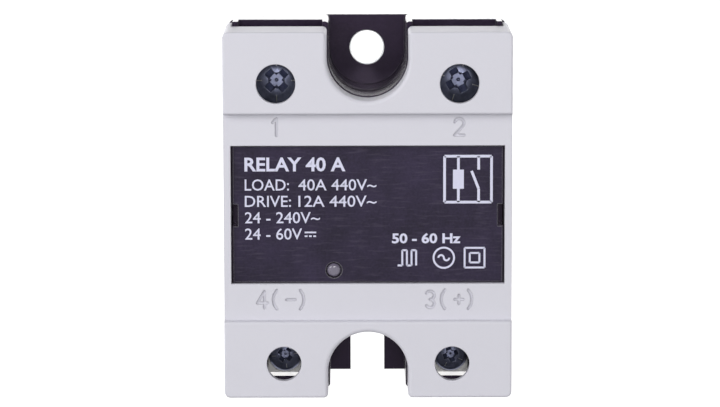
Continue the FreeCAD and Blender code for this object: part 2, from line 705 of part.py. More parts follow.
def make_cover():
    """Light grey clip-on cover: raised over both pairs of terminals, with a window over the label."""
    shell = doc.addObject("PartDesign::Body", "CoverShell")
    shell.setExpression("Placement.Base.y", bound("overall_depth / 2"))
    back = "(shoulder_depth + cover_clearance)"
    half = "(overall_width / 2)"
    outer = [
        (back, "0"),
        ("overall_depth", "0"),
        ("overall_depth", "control_face"),
        (BAND_FACE, "control_face"),
        (BAND_FACE, POWER_STEP),
        ("overall_depth", POWER_STEP),
        ("overall_depth", COVER_TOP),
        (back, f"{COVER_TOP} + end_draft"),
    ]
    side_pad(shell, outer, f"-{half}", half)
    corner_half = size("overall_width") / 2

    def is_corner(edge):
        place = edge.CenterOfMass
        flat = abs(edge.tangentAt(edge.FirstParameter).x) < 1e-6
        ends = place.z < 0.1 or place.z > size("overall_length") - size("cover_setback") - 0.1
        return flat and near(abs(place.x), corner_half) and ends and edge.Length > size("rim_length")

    round_edges(shell, "cover_corner", is_corner)
    face = -size("overall_depth")

    def is_front(edge):
        return near(edge.CenterOfMass.y, face) and near(edge.BoundBox.YLength, 0)

    round_edges(shell, "cover_edge", is_front)
    wall = "flank_thickness"
    hollow = [
        (f"{back} - {FAR}", wall),
        (FACE_BACK, wall),
        (FACE_BACK, f"control_face - {wall}"),
        (BAND_BACK, f"control_face - {wall}"),
        (BAND_BACK, f"{POWER_STEP} + {wall}"),
        (FACE_BACK, f"{POWER_STEP} + {wall}"),
        (FACE_BACK, f"{COVER_TOP} - {wall}"),
        (f"{back} - {FAR}", f"{COVER_TOP} - {wall} + end_draft"),
    ]
    side_pocket(shell, hollow, f"-{SKIRT_INSIDE}", SKIRT_INSIDE)
    # rims round the fixing screws
    grow = "rim_thickness"
    side = f"({POWER_RIM} + {grow})"
    high_ring = [("0", UPPER_MOUNT, side)]
    front_pad(shell, high_ring, RIM, FACE_BACK)
    low_side = f"({CONTROL_RIM} + {grow})"
    front_pad(shell, [("0", CONTROL_RIM_HEIGHT, low_side)], RIM, FACE_BACK)
    high_cheeks = mirrored([(f"{POWER_RIM} - cover_clearance", side, UPPER_MOUNT, COVER_TOP)])
    front_pad(shell, high_cheeks, RIM, FACE_BACK)
    low_cheeks = mirrored([(f"{CONTROL_RIM} - cover_clearance", low_side, "0", CONTROL_RIM_HEIGHT)])
    front_pad(shell, low_cheeks, RIM, FACE_BACK)
    past = f"overall_depth + {FAR}"
    low_cut = lower_notch_shapes(CONTROL_RIM, CONTROL_RIM_HEIGHT)
    for shape in notch_shapes(POWER_RIM) + low_cut:
        front_pocket(shell, [shape], "0", past)
    power_rim = size("notch_radius") + size("power_rim_gap")
    control_rim = size("notch_radius") + size("control_rim_gap")
    cover_end = size("overall_length") - size("cover_setback") - 0.1

    def is_mouth(edge):
        place = edge.CenterOfMass
        flat = edge.Curve.TypeId == "Part::GeomLine" and abs(edge.tangentAt(edge.FirstParameter).y) > 0.9
        high = near(abs(place.x), power_rim) and place.z > cover_end
        low = near(abs(place.x), control_rim) and near(place.z, 0)
        return flat and (high or low) and edge.Length > 1

    round_edges(shell, "mouth_corner", is_mouth)
    # wire entries below the end lips
    power_entry = (POWER_RIM, SKIRT_INSIDE, f"{COVER_TOP} - {FAR}", BEYOND)
    control_entry = (CONTROL_RIM, SKIRT_INSIDE, BEFORE, FAR)
    front_pocket(shell, mirrored([power_entry, control_entry]), "0", LIP)
    for across, low, high in (
        ("power_offset", f"{COVER_TOP} - {wall}", f"{COVER_TOP} + end_draft / 2"),
        ("control_offset", "0", wall),
    ):
        for side_sign in ("", "-"):
            middle = f"{side_sign}{across}"
            tab = [
                (f"{middle} - tab_width / 2", LIP),
                (f"{middle} + tab_width / 2", LIP),
                (f"{middle} + tab_width / 2 - tab_reach", f"{LIP} - tab_reach"),
                (f"{middle} - tab_width / 2 + tab_reach", f"{LIP} - tab_reach"),
            ]
            up_pad(shell, tab, low, high)
    # snap windows, label window and driver holes
    outside = f"overall_width / 2 + {FAR}"
    windows = [(f"{SKIRT_INSIDE} - cover_clearance / 2", outside, low, high) for low, high in snap_spans()]
    front_pocket(shell, mirrored(windows), "snap_depth", "snap_depth + snap_rise")
    front_pocket(shell, [(f"-{WINDOW_HALF}", WINDOW_HALF, WINDOW_LOW, WINDOW_TOP)], DECK, past)
    front_pocket(shell, mirrored([("power_offset", POWER_HEIGHT, "power_access")]), FACE_BACK, past)
    front_pocket(shell, mirrored([("control_offset", CONTROL_HEIGHT, "control_access")]), FACE_BACK, past)
    finished(cut_from(shell, make_marks()), "cover")


def make_label_and_guide():
    """The printed label on the deck, and the clear guide that brings the status light to it."""
    label = new_body("label")
    half = f"({WINDOW_HALF} - label_margin)"
    area = (f"-{half}", half, f"{WINDOW_LOW} + label_margin / 2", f"{WINDOW_TOP} - label_margin / 2")
    face = f"({DECK} + label_thickness)"
    front_pad(label, [area], DECK, face)
    slot = (
        f"{WINDOW_HALF} - release_width - 2 * cover_clearance",
        f"{WINDOW_HALF} + {FAR}",
        f"{RELEASE_LOW} - seat_clearance",
        f"{RELEASE_TOP} + seat_clearance",
    )
    front_pocket(label, mirrored([slot]), "0", f"{DECK} + {FAR}")
    hole = ("-guide_offset", GUIDE_HEIGHT, "guide_radius + 2 * seat_clearance")
    front_pocket(label, [hole], "0", f"{DECK} + {FAR}")

    stem = rod("-guide_offset", GUIDE_HEIGHT, "guide_radius", f"{CEILING} - 2", f"{DECK} + guide_proud")
    dome = round_front(stem, 0.55 * size("guide_radius"))
    collar = rod("-guide_offset", GUIDE_HEIGHT, "guide_radius + 0.5", f"{CEILING} - 0.8", CEILING)
    finished(group([dome, collar]), "light_guide")


# ---------------------------------------------------------------- terminals


def make_screw(label, across, height, kind, under_head):
    """A combination-drive clamp screw: rounded head, cross recess with a slot and four index lines."""
    top = f"({under_head} + {kind}_head_height)"
    head = rod(across, height, f"{kind}_head", under_head, top)
    domed = round_front(head, 0.3 * size(f"{kind}_head_height"))
    shank = rod(across, height, f"{kind}_thread", f"{under_head} - {kind}_screw_length", under_head)
    blank = group([domed, shank])
    wing = f"({kind}_head * 0.42)"
    web = f"({kind}_head * 0.1)"
    sink = f"({top} - {kind}_head_height * 0.62)"
    front = f"({top} + 1)"
    narrow = (f"{across} - {web}", f"{across} + {web}", f"{height} - {web}", f"{height} + {web}")
    broad = (f"{across} - {wing}", f"{across} + {wing}", f"{height} - {wing}", f"{height} + {wing}")
    upright = block(*narrow[:2], *broad[2:], sink, front)
    level = block(*broad[:2], *narrow[2:], sink, front)
    well = rod(across, height, f"{kind}_head * 0.22", sink, front)
    slot_half = f"({kind}_head * 0.085)"
    slot = block(
        f"{across} - {kind}_head - 1",
        f"{across} + {kind}_head + 1",
        f"{height} - {slot_half}",
        f"{height} + {slot_half}",
        f"{top} - {kind}_head_height * 0.24",
        front,
    )
    finished(cut_from(blank, group([upright, level, well, slot])), label)


def make_nut(label, across, height, kind, shelf):
    """A hexagon nut let into the shelf under the strip."""
    nut = new_body(label)
    low = f"({shelf} - {kind}_nut)"
    front_pad(nut, [hexagon(across, height, f"{kind}_nut_flats")], low, shelf)
    bore = (across, height, f"{kind}_thread + thread_clearance")
    front_pocket(nut, [bore], f"{low} - {FAR}", f"{shelf} + {FAR}")


def make_clamp(label, across, height, kind, back):
    """A square clamp plate whose two ends turn down a little, so that a wire can't escape."""
    clamp = new_body(label)
    half = f"({kind}_clamp_side / 2)"
    body = f"({kind}_clamp * 0.6)"
    side = "(power_clamp_side / 2)" if kind == "power" else "(control_bar_width / 2 + 3 * seat_clearance)"
    face = f"({back} + {kind}_clamp)"
    lip = f"({kind}_clamp * 0.5)"
    saddle = [
        (back, f"{height} - {half}"),
        (f"{face} - {lip}", f"{height} - {half}"),
        (face, f"{height} - {half} + {lip}"),
        (face, f"{height} + {half} - {lip}"),
        (f"{face} - {lip}", f"{height} + {half}"),
        (back, f"{height} + {half}"),
        (f"{face} - {body}", f"{height} + {half} - {lip}"),
        (f"{face} - {body}", f"{height} - {half} + {lip}"),
    ]
    side_pad(clamp, saddle, f"{across} - {side}", f"{across} + {side}")
    bore = (across, height, f"{kind}_thread + thread_clearance")
    front_pocket(clamp, [bore], f"{back} - {FAR}", f"{face} + {FAR}")


def make_lock_washer(label, across, height, kind, back):
    """A split spring washer, drawn flat as it is when the screw is tight."""
    face = f"({back} + {kind}_lock)"
    ring = rod(across, height, f"{kind}_head * 0.92", back, face)
    bore = rod(across, height, f"{kind}_thread + thread_clearance", f"{back} - 1", f"{face} + 1")
    split = block(
        f"{across} + {kind}_thread * 0.6",
        f"{across} + {kind}_head + 1",
        f"{height} - {kind}_lock * 0.35",
        f"{height} + {kind}_lock * 0.35",
        f"{back} - 1",
        f"{face} + 1",
    )
    finished(cut_from(ring, group([bore, split])), label)


def make_power_terminal(name, side):
    """Busbar, nut, clamp, spring washer and screw of one load terminal."""
    across = f"{side}power_offset"
    bar = new_body(f"{name}_busbar")
    face = "(power_shelf + power_bar)"
    drop_outer = f"({CAVITY_TOP} - bar_standoff)"
    drop_inner = f"({drop_outer} - power_bar)"
    foot_face = f"({COPPER_FACE} + power_bar)"
    foot_end = f"({drop_inner} - 2.5 * power_bar)"
    outline = [
        ("power_shelf", f"{TOP} - 2.5 * power_bar"),
        ("power_shelf", drop_outer),
        (COPPER_FACE, drop_outer),
        (COPPER_FACE, foot_end),
        (foot_face, foot_end),
        (foot_face, drop_inner),
        (face, drop_inner),
        (face, f"{TOP} - 2.5 * power_bar"),
    ]
    side_pad(bar, outline, f"{across} - power_bar_width / 2", f"{across} + power_bar_width / 2")
    hole = (across, POWER_HEIGHT, "power_thread + 2 * thread_clearance")
    front_pocket(bar, [hole], f"power_shelf - {FAR}", f"{face} + {FAR}")
    make_nut(f"{name}_nut", across, POWER_HEIGHT, "power", "power_shelf")
    make_clamp(f"{name}_clamp", across, POWER_HEIGHT, "power", face)
    under = f"({face} + power_clamp)"
    make_lock_washer(f"{name}_lock_washer", across, POWER_HEIGHT, "power", under)
    make_screw(f"{name}_screw", across, POWER_HEIGHT, "power", f"({under} + power_lock)")


def make_control_terminal(name, side):
    """Strip, nut, clamp, spring washer and screw of one control terminal."""
    across = f"{side}control_offset"
    strip = new_body(f"{name}_strip")
    face = "(control_shelf + control_bar)"
    end = f"({BOARD_LOW} + 2 * control_bar)"
    outline = [
        ("control_shelf", "2 * control_bar"),
        (face, "2 * control_bar"),
        (face, end),
        (BOARD_FACE, end),
        (BOARD_FACE, f"{end} - control_bar"),
        ("control_shelf", f"{end} - control_bar"),
    ]
    side_pad(strip, outline, f"{across} - control_bar_width / 2", f"{across} + control_bar_width / 2")
    hole = (across, CONTROL_HEIGHT, "control_thread + 2 * thread_clearance")
    front_pocket(strip, [hole], f"control_shelf - {FAR}", f"{face} + {FAR}")
    make_nut(f"{name}_nut", across, CONTROL_HEIGHT, "control", "control_shelf")
    make_clamp(f"{name}_clamp", across, CONTROL_HEIGHT, "control", face)
    under = f"({face} + control_clamp)"
    make_lock_washer(f"{name}_lock_washer", across, CONTROL_HEIGHT, "control", under)
    make_screw(f"{name}_screw", across, CONTROL_HEIGHT, "control", f"({under} + control_lock)")


# ---------------------------------------------------------------- electronics


def make_power_stage():
    """Ceramic substrate, its two conductors, two thyristor chips back to back and their copper straps."""
    half = "(ceramic_width / 2)"
    ceramic = new_body("ceramic_substrate")
    front_pad(ceramic, [(f"-{half}", half, CERAMIC_LOW, CERAMIC_TOP)], CERAMIC_BACK, COPPER_BACK)
    inner = "(copper_gap / 2)"
    outer = f"({half} - copper_border)"
    low_edge = f"{CERAMIC_LOW} + copper_border"
    high_edge = f"{CERAMIC_TOP} - copper_border"
    for name, left, right in (
        ("line_conductor", f"-{outer}", f"-{inner}"),
        ("load_conductor", inner, outer),
    ):
        copper = new_body(name)
        front_pad(copper, [(left, right, low_edge, high_edge)], COPPER_BACK, COPPER_FACE)
    reach = "(chip_side / 2)"
    for name, side in (("forward_thyristor", "-"), ("reverse_thyristor", "")):
        chip = new_body(name)
        middle = f"{side}chip_offset"
        sides = (f"{middle} - {reach}", f"{middle} + {reach}")
        ends = (f"{CHIP_HEIGHT} - {reach}", f"{CHIP_HEIGHT} + {reach}")
        front_pad(chip, [sides + ends], COPPER_FACE, CHIP_FACE)
    rise = f"({CHIP_FACE} + strap_rise)"
    shared = "0.5 * strap_thickness"
    make_strap("forward_strap", "-", "", rise, f"{CHIP_HEIGHT} - strap_width - {shared}")
    make_strap("reverse_strap", "", "-", rise, f"{CHIP_HEIGHT} + {shared}")


def make_strap(name, near_side, far_side, rise, low):
    """A copper strap from the top of the chip on one side, over the gap, to the conductor on the far side."""
    chip_end = f"{near_side}(chip_offset + strap_width / 2)"
    chip_edge = f"{near_side}(chip_offset - strap_width / 2)"
    knee = f"{near_side}(chip_offset - strap_width / 2 - strap_thickness)"
    landing = f"{far_side}(copper_gap / 2 + 0.5 * strap_thickness)"
    heel = f"{far_side}(copper_gap / 2 + 1.5 * strap_thickness)"
    toe = f"{far_side}(copper_gap / 2 + 3.5 * strap_thickness)"
    outline = [
        (chip_end, CHIP_FACE),
        (knee, CHIP_FACE),
        (knee, rise),
        (landing, rise),
        (landing, COPPER_FACE),
        (toe, COPPER_FACE),
        (toe, f"{COPPER_FACE} + strap_thickness"),
        (heel, f"{COPPER_FACE} + strap_thickness"),
        (heel, f"{rise} + strap_thickness"),
        (chip_edge, f"{rise} + strap_thickness"),
        (chip_edge, f"{CHIP_FACE} + strap_thickness"),
        (chip_end, f"{CHIP_FACE} + strap_thickness"),
    ]
    up_pad(new_body(name), outline, low, f"{low} + strap_width")


def make_driver_board():
    """The driver board, and the pins that reach through it to the gates of the two chips."""
    board = new_body("circuit_board")
    half = f"({CAVITY_HALF} - board_margin)"
    front_pad(board, [(f"-{half}", half, BOARD_LOW, BOARD_TOP)], "board_depth", BOARD_FACE)
    across = "(chip_offset + chip_side * 0.38)"
    heights = (f"{CHIP_HEIGHT} - chip_side * 0.35", f"{CHIP_HEIGHT} + chip_side * 0.35")
    pins = [(side + across, height) for side in ("", "-") for height in heights]
    holes = [(place, height, "pin_radius + thread_clearance") for place, height in pins]
    front_pocket(board, holes, f"board_depth - {FAR}", f"{BOARD_FACE} + {FAR}")
    end = f"{BOARD_FACE} + pin_proud"
    finished(group([rod(place, height, "pin_radius", CHIP_FACE, end) for place, height in pins]), "gate_pins")


def boxed(left, low, width, length, tall):
    """A component's plain body, just clear of the board."""
    start = f"({BOARD_FACE} + standoff_height)"
    return block(left, f"{left} + {width}", low, f"{low} + {length}", start, f"{start} + {tall}")


def make_components():
    """What is soldered to the driver board."""
    start = f"({BOARD_FACE} + standoff_height)"
    # optocoupler in the middle of the board, with three legs on each side
    left = "(-coupler_width / 2)"
    low = f"({BOARD_TOP} - coupler_length - 3 * board_margin)"
    body = boxed(left, low, "coupler_width", "coupler_length", "coupler_height")
    top = f"{start} + coupler_height"
    dot = rod(f"{left} + 1", f"{low} + coupler_length - 1", "0.4", f"{top} - 0.2", f"{top} + 1")
    finished(cut_from(body, dot), "optocoupler")
    legs = []
    for side in ("", "-"):
        for step in (-1, 0, 1):
            middle = f"({low} + coupler_length / 2 + {step} * coupler_pitch)"
            inner, outer = f"{side}coupler_width / 2", f"{side}(coupler_width / 2 + 0.5)"
            edges = (inner, outer) if side == "" else (outer, inner)
            legs.append(block(*edges, f"{middle} - 0.5", f"{middle} + 0.5", BOARD_FACE, f"{start} + 1.6"))
    finished(group(legs), "optocoupler_legs")
    # input side, by the control terminals
    bridge_low = f"{BOARD_LOW} + pin_proud"
    rectifier = boxed("pin_proud", bridge_low, "rectifier_width", "rectifier_length", "rectifier_height")
    finished(rounded(rectifier, 0.4, lambda edge: edge.Length > 5), "bridge_rectifier")
    can_across = f"({CAVITY_HALF} - smoothing_radius - 2 * board_margin)"
    can_height = f"({BOARD_LOW} + 2 * smoothing_radius + control_bar)"
    can = rod(can_across, can_height, "smoothing_radius", start, f"{start} + smoothing_height")
    finished(round_front(can, 0.5), "smoothing_capacitor")
    resistors = []
    for step in (0, 1):
        height = f"({BOARD_LOW} + 4.6 + {step} * 2.6 * resistor_radius)"
        middle = "-control_offset"
        depth = f"{start} + resistor_radius"
        ends = (f"{middle} - resistor_length / 2", f"{middle} + resistor_length / 2")
        resistors.append(lying_rod(*ends, height, depth, "resistor_radius"))
    finished(group(resistors), "input_resistors")
    stem = rod("-guide_offset", GUIDE_HEIGHT, "lamp_radius", start, f"{start} + lamp_height")
    brim = rod("-guide_offset", GUIDE_HEIGHT, "lamp_radius + 0.3", start, f"{start} + 0.9")
    finished(group([round_front(stem, 0.9 * size("lamp_radius")), brim]), "status_light")
    # output side, by the power terminals
    film_left = f"(-{CAVITY_HALF} + 4 * board_margin)"
    film_low = f"{BOARD_TOP} - snubber_length - board_margin"
    film = boxed(film_left, film_low, "snubber_width", "snubber_length", "snubber_height")
    finished(rounded(film, 0.4, lambda edge: edge.Length > 1), "snubber_capacitor")
    right = f"({CAVITY_HALF} - 4 * board_margin)"
    damper_height = f"({BOARD_TOP} - damper_radius - board_margin)"
    damper_depth = f"{start} + damper_radius"
    damper = lying_rod(f"{right} - damper_length", right, damper_height, damper_depth, "damper_radius")
    finished(damper, "snubber_resistor")
    disc_height = f"({damper_height} - damper_radius - varistor_radius - 0.5)"
    disc_depth = f"{start} + varistor_radius"
    disc = lying_rod(f"{right} - varistor_thickness", right, disc_height, disc_depth, "varistor_radius")
    finished(disc, "varistor")
    # small transistors and diodes between the two gate pins of the reverse chip
    small = []
    for step in range(3):
        place = f"(3 + {step} * 2.4)"
        small.append(boxed(place, f"{BOARD_LOW} + rectifier_length + 2.5", "1.6", "2.9", "1.1"))
    finished(group(small), "driver_transistors")


make_base_plate()
make_seal()
make_housing()
make_cover()
make_label_and_guide()
make_power_terminal("line", "-")
make_power_terminal("load", "")
make_control_terminal("minus", "-")
make_control_terminal("plus", "")
make_power_stage()
make_driver_board()
make_components()

doc.recompute()
for thing in doc.Objects:
    for state in ("Invalid", "Error"):
        if state in thing.State:
            raise RuntimeError(f"{thing.Name} ({thing.Label}) is in state {state}")
for feature in cuts:
    if feature.Shape.Volume >= feature.BaseFeature.Shape.Volume - 1e-6:
        raise RuntimeError(f"{feature.Name} of {feature.getParent().Label} cuts nothing")
os.makedirs("parts", exist_ok=True)
for part in parts:
    if part.Shape.isNull() or not part.Shape.isValid():
        raise RuntimeError(f"{part.Label} has no valid shape")
    part.Shape.exportStep(os.path.join("parts", f"{part.Label}.step"))
print(len(parts), "parts written")
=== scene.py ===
"""Finishes and fine pieces of a panel-mount solid state relay, built around its engineering model.

Lengths are metres. X runs across the relay, Z up towards the power terminals, and Y from the cover to the
mounting face, so the front looks along -Y."""

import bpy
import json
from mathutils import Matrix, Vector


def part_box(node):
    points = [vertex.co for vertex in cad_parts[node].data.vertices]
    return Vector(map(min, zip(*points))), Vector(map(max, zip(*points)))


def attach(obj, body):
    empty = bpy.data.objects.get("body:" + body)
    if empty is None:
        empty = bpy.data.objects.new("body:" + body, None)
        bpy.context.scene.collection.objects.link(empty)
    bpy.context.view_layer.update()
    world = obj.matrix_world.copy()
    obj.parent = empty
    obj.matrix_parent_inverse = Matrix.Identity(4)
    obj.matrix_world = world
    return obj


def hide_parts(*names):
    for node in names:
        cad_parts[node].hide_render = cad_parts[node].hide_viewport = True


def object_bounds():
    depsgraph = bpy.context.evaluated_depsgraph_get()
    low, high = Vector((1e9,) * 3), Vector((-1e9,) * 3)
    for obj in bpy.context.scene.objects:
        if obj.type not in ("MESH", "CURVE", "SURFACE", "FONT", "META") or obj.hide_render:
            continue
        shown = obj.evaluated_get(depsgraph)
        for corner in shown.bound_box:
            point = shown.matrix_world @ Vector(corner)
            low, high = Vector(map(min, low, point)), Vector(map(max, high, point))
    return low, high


bl_info = {
    "name": "Solid state relay",
    "version": (1, 0, 0),
    "blender": (4, 5, 0),
    "location": "3D View > Sidebar > Relay",
    "description": "Materials, print, screws and studio for a solid state relay",
    "category": "Object",
}

import json
import math

import bmesh
import bpy
from bpy.props import FloatProperty, FloatVectorProperty, PointerProperty
from mathutils import Matrix, Vector

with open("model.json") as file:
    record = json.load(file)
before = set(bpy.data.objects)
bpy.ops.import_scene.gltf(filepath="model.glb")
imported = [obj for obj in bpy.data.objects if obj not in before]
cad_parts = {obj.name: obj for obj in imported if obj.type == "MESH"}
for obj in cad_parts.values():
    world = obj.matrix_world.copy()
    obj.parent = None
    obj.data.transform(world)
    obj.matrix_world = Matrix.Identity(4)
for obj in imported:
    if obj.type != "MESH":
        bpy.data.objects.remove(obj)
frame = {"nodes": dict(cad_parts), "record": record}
cad_low, cad_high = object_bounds()

MM = 0.001
FIXED = "relay"
TERMINALS = ("line", "load", "minus", "plus")


def colour(name, text, default):
    """A colour property, in linear light."""
    return FloatVectorProperty(
        name=name, description=text, subtype="COLOR", size=3, min=0, max=1, default=default
    )


def length(name, text, default):
    """A length property, in metres."""
    return FloatProperty(
        name=name, description=text, subtype="DISTANCE", unit="LENGTH", default=default, precision=5
    )


def proportion(name, text, default):
    """A property that is a share of another size."""
    return FloatProperty(name=name, description=text, default=default, min=0.1, max=0.6)


class RelayColours(bpy.types.PropertyGroup):
    """Colours of the finishes that show most."""

    cover: colour("Cover", "Light grey moulding of the clip-on cover", (0.655, 0.648, 0.71))
    dirt: colour("Dirt", "Handling marks on the cover", (0.30, 0.27, 0.27))
    housing: colour("Housing", "Black moulding", (0.012, 0.007, 0.018))
    label: colour("Label", "Dark film under the print", (0.026, 0.0195, 0.042))
    print_ink: colour("Print", "Pale screen print on the label", (0.66, 0.66, 0.82))
    zinc: colour("Zinc", "Blue zinc on screws, washers and nuts", (0.21, 0.225, 0.33))
    nickel: colour("Nickel", "Bright plating on the clamp plates", (0.95, 0.94, 0.92))
    aluminium: colour("Aluminium", "Bare base plate", (0.72, 0.73, 0.75))
    copper: colour("Copper", "Conductors and straps", (0.80, 0.42, 0.26))
    board: colour("Board", "Solder mask of the driver board", (0.02, 0.16, 0.07))


class RelaySizes(bpy.types.PropertyGroup):
    """Sizes of the print and the screws' drives."""

    ink: length("Ink", "Thickness of the print", 0.025 * MM)
    title_height: length("Title", "Capital letters of the label's first line", 2.1 * MM)
    row_height: length("Rows", "Capital letters of the rating rows", 1.72 * MM)
    row_pitch: length("Row pitch", "From one rating row to the next", 2.57 * MM)
    recess_reach: proportion("Recess", "Reach of the cross recess, as a share of the head's radius", 0.54)
    recess_depth: proportion("Recess depth", "Depth of the recess, as a share of the head's height", 0.45)
    thread_depth: proportion("Thread", "Depth of a thread, as a share of its pitch", 0.5)


class RelayStudio(bpy.types.PropertyGroup):
    """Camera and lights."""

    eye: FloatVectorProperty(
        name="Eye",
        description="Place of the camera",
        subtype="TRANSLATION",
        default=(-0.00218, -0.4955, 0.0945),
    )
    pitch: FloatProperty(name="Pitch", description="Camera's dip below level", subtype="ANGLE", default=0.132)
    yaw: FloatProperty(name="Yaw", description="Camera's turn to the left", subtype="ANGLE", default=-0.002)
    roll: FloatProperty(name="Roll", description="Camera's lean", subtype="ANGLE", default=-0.002)
    lens: FloatProperty(name="Lens", description="Focal length in millimetres", default=156.65)
    ambient: FloatProperty(name="Ambient", description="Light from all round", default=1.06)
    behind: FloatProperty(name="Behind", description="Light low down behind the relay", default=1.75)
    key: FloatProperty(name="Key", description="Power of the light high on the left", default=2.0)
    front: FloatProperty(name="Front", description="Power of the small light over the camera", default=1.25)
    side: FloatProperty(name="Side", description="Power of each side light", default=0.3)


# ---------------------------------------------------------------- node trees


def add(tree, kind, inputs=None, **settings):
    """A shader node with its settings, and its inputs linked or filled in."""
    node = tree.nodes.new("ShaderNode" + kind)
    for name, value in settings.items():
        setattr(node, name, value)
    for name, value in (inputs or {}).items():
        if isinstance(value, bpy.types.NodeSocket):
            tree.links.new(value, node.inputs[name])
        else:
            node.inputs[name].default_value = value
    return node


def maths(tree, operation, first, second=0.0, clamp=False):
    return add(tree, "Math", {0: first, 1: second}, operation=operation, use_clamp=clamp).outputs[0]


def mixed(tree, share, first, second):
    """Two colours mixed by share."""
    node = add(tree, "Mix", data_type="RGBA", blend_type="MIX")
    for place, value in ((0, share), (6, first), (7, second)):
        if isinstance(value, bpy.types.NodeSocket):
            tree.links.new(value, node.inputs[place])
        else:
            node.inputs[place].default_value = value
    return node.outputs[2]


def stepped(tree, value, low, high):
    """0 at low, 1 at high and a smooth change between them, whichever of the two is the larger."""
    limits = {"Value": value, "From Min": low, "From Max": high}
    return add(tree, "MapRange", limits, interpolation_type="SMOOTHSTEP").outputs["Result"]


def noise(tree, place, scale, detail=2.0, roughness=0.5):
    """The sockets of a noise texture at a place."""
    inputs = {"Vector": place, "Scale": scale, "Detail": detail, "Roughness": roughness}
    return add(tree, "TexNoise", inputs).outputs


def stretched(tree, place, amounts):
    """A place times an amount for each axis, so that a pattern there is drawn out where it is under 1."""
    return add(tree, "VectorMath", {0: place, 1: amounts}, operation="MULTIPLY").outputs[0]


def bumped(tree, depth, height, normal):
    """A normal that follows a height of the given depth."""
    inputs = {"Strength": 1.0, "Distance": depth, "Height": height, "Normal": normal}
    return add(tree, "Bump", inputs).outputs[0]


KINDS = {"Float": "NodeSocketFloat", "Color": "NodeSocketColor", "Vector": "NodeSocketVector"}


def new_group(name, inputs, outputs):
    """A shader node group with named sockets: (group, its inputs' node, its outputs' node)."""
    group = bpy.data.node_groups.new(name, "ShaderNodeTree")
    for socket, kind, value in inputs:
        made = group.interface.new_socket(name=socket, in_out="INPUT", socket_type=KINDS[kind])
        made.default_value = value
    for socket, kind in outputs:
        group.interface.new_socket(name=socket, in_out="OUTPUT", socket_type=KINDS[kind])
    source = group.nodes.new("NodeGroupInput")
    sink = group.nodes.new("NodeGroupOutput")
    return group, source.outputs, sink.inputs


def soft_edges(group, radius):
    """The normal of a surface with softened edges, and a mask that is 1 on those edges."""
    bevel = add(group, "Bevel", {"Radius": radius}, samples=6)
    true = add(group, "NewGeometry")
    dot = add(group, "VectorMath", {0: bevel.outputs[0], 1: true.outputs["Normal"]}, operation="DOT_PRODUCT")
    mask = maths(group, "SUBTRACT", 1.0, dot.outputs["Value"])
    return bevel.outputs[0], maths(group, "MULTIPLY", mask, 6.0, clamp=True)


def moulded_group():
    """Injection-moulded plastic: spark-eroded grain, slow colour drift and lighter edges."""
    group, given, out = new_group(
        "Moulded surface",
        [
            ("Colour", "Color", (0.5, 0.5, 0.5, 1)),
            ("Edge Colour", "Color", (0.6, 0.6, 0.6, 1)),
            ("Edge Amount", "Float", 0.3),
            ("Edge Radius", "Float", 0.2 * MM),
            ("Drift", "Float", 0.06),
            ("Grain Scale", "Float", 2600.0),
            ("Grain Depth", "Float", 0.01 * MM),
            ("Roughness", "Float", 0.5),
            ("Roughness Spread", "Float", 0.1),
        ],
        [("Colour", "Color"), ("Roughness", "Float"), ("Normal", "Vector")],
    )
    place = add(group, "TexCoord").outputs["Object"]
    fine = noise(group, place, given["Grain Scale"], 3.0, 0.6)["Fac"]
    coarse = noise(group, place, 140.0, 4.0, 0.65)["Fac"]
    normal, edge = soft_edges(group, given["Edge Radius"])
    centred = maths(group, "SUBTRACT", coarse, 0.5)
    speck = maths(group, "SUBTRACT", fine, 0.5)
    sway = maths(group, "ADD", maths(group, "MULTIPLY", centred, 2.0), speck)
    gain = maths(group, "ADD", maths(group, "MULTIPLY", sway, given["Drift"]), 1.0)
    tinted = add(group, "VectorMath", {0: given["Colour"], "Scale": gain}, operation="SCALE").outputs[0]
    worn = maths(group, "MULTIPLY", edge, given["Edge Amount"])
    group.links.new(mixed(group, worn, tinted, given["Edge Colour"]), out["Colour"])
    rough = maths(group, "MULTIPLY", sway, given["Roughness Spread"])
    group.links.new(maths(group, "ADD", rough, given["Roughness"], clamp=True), out["Roughness"])
    group.links.new(bumped(group, given["Grain Depth"], fine, normal), out["Normal"])
    return group


def speck_group():
    """Scattered marks with ragged outlines: dust, scuffs and handling dirt."""
    group, given, out = new_group(
        "Specks",
        [
            ("Scale", "Float", 400.0),
            ("Size", "Float", 0.12),
            ("Share", "Float", 0.2),
            ("Raggedness", "Float", 0.0004),
        ],
        [("Mask", "Float")],
    )
    place = add(group, "TexCoord").outputs["Object"]
    wobble = noise(group, place, 1500.0)["Color"]
    offset = add(group, "VectorMath", {0: wobble, "Scale": given["Raggedness"]}, operation="SCALE").outputs[0]
    moved = add(group, "VectorMath", {0: place, 1: offset}, operation="ADD").outputs[0]
    cells = add(group, "TexVoronoi", {"Vector": moved, "Scale": given["Scale"]}, feature="F1")
    red = add(group, "SeparateColor", {"Color": cells.outputs["Color"]})
    chosen = maths(group, "LESS_THAN", red.outputs[0], given["Share"])
    reach = maths(group, "MULTIPLY", red.outputs[1], given["Size"])
    dot = stepped(group, maths(group, "SUBTRACT", reach, cells.outputs["Distance"]), 0.0, 0.06)
    group.links.new(maths(group, "MULTIPLY", dot, chosen), out["Mask"])
    return group


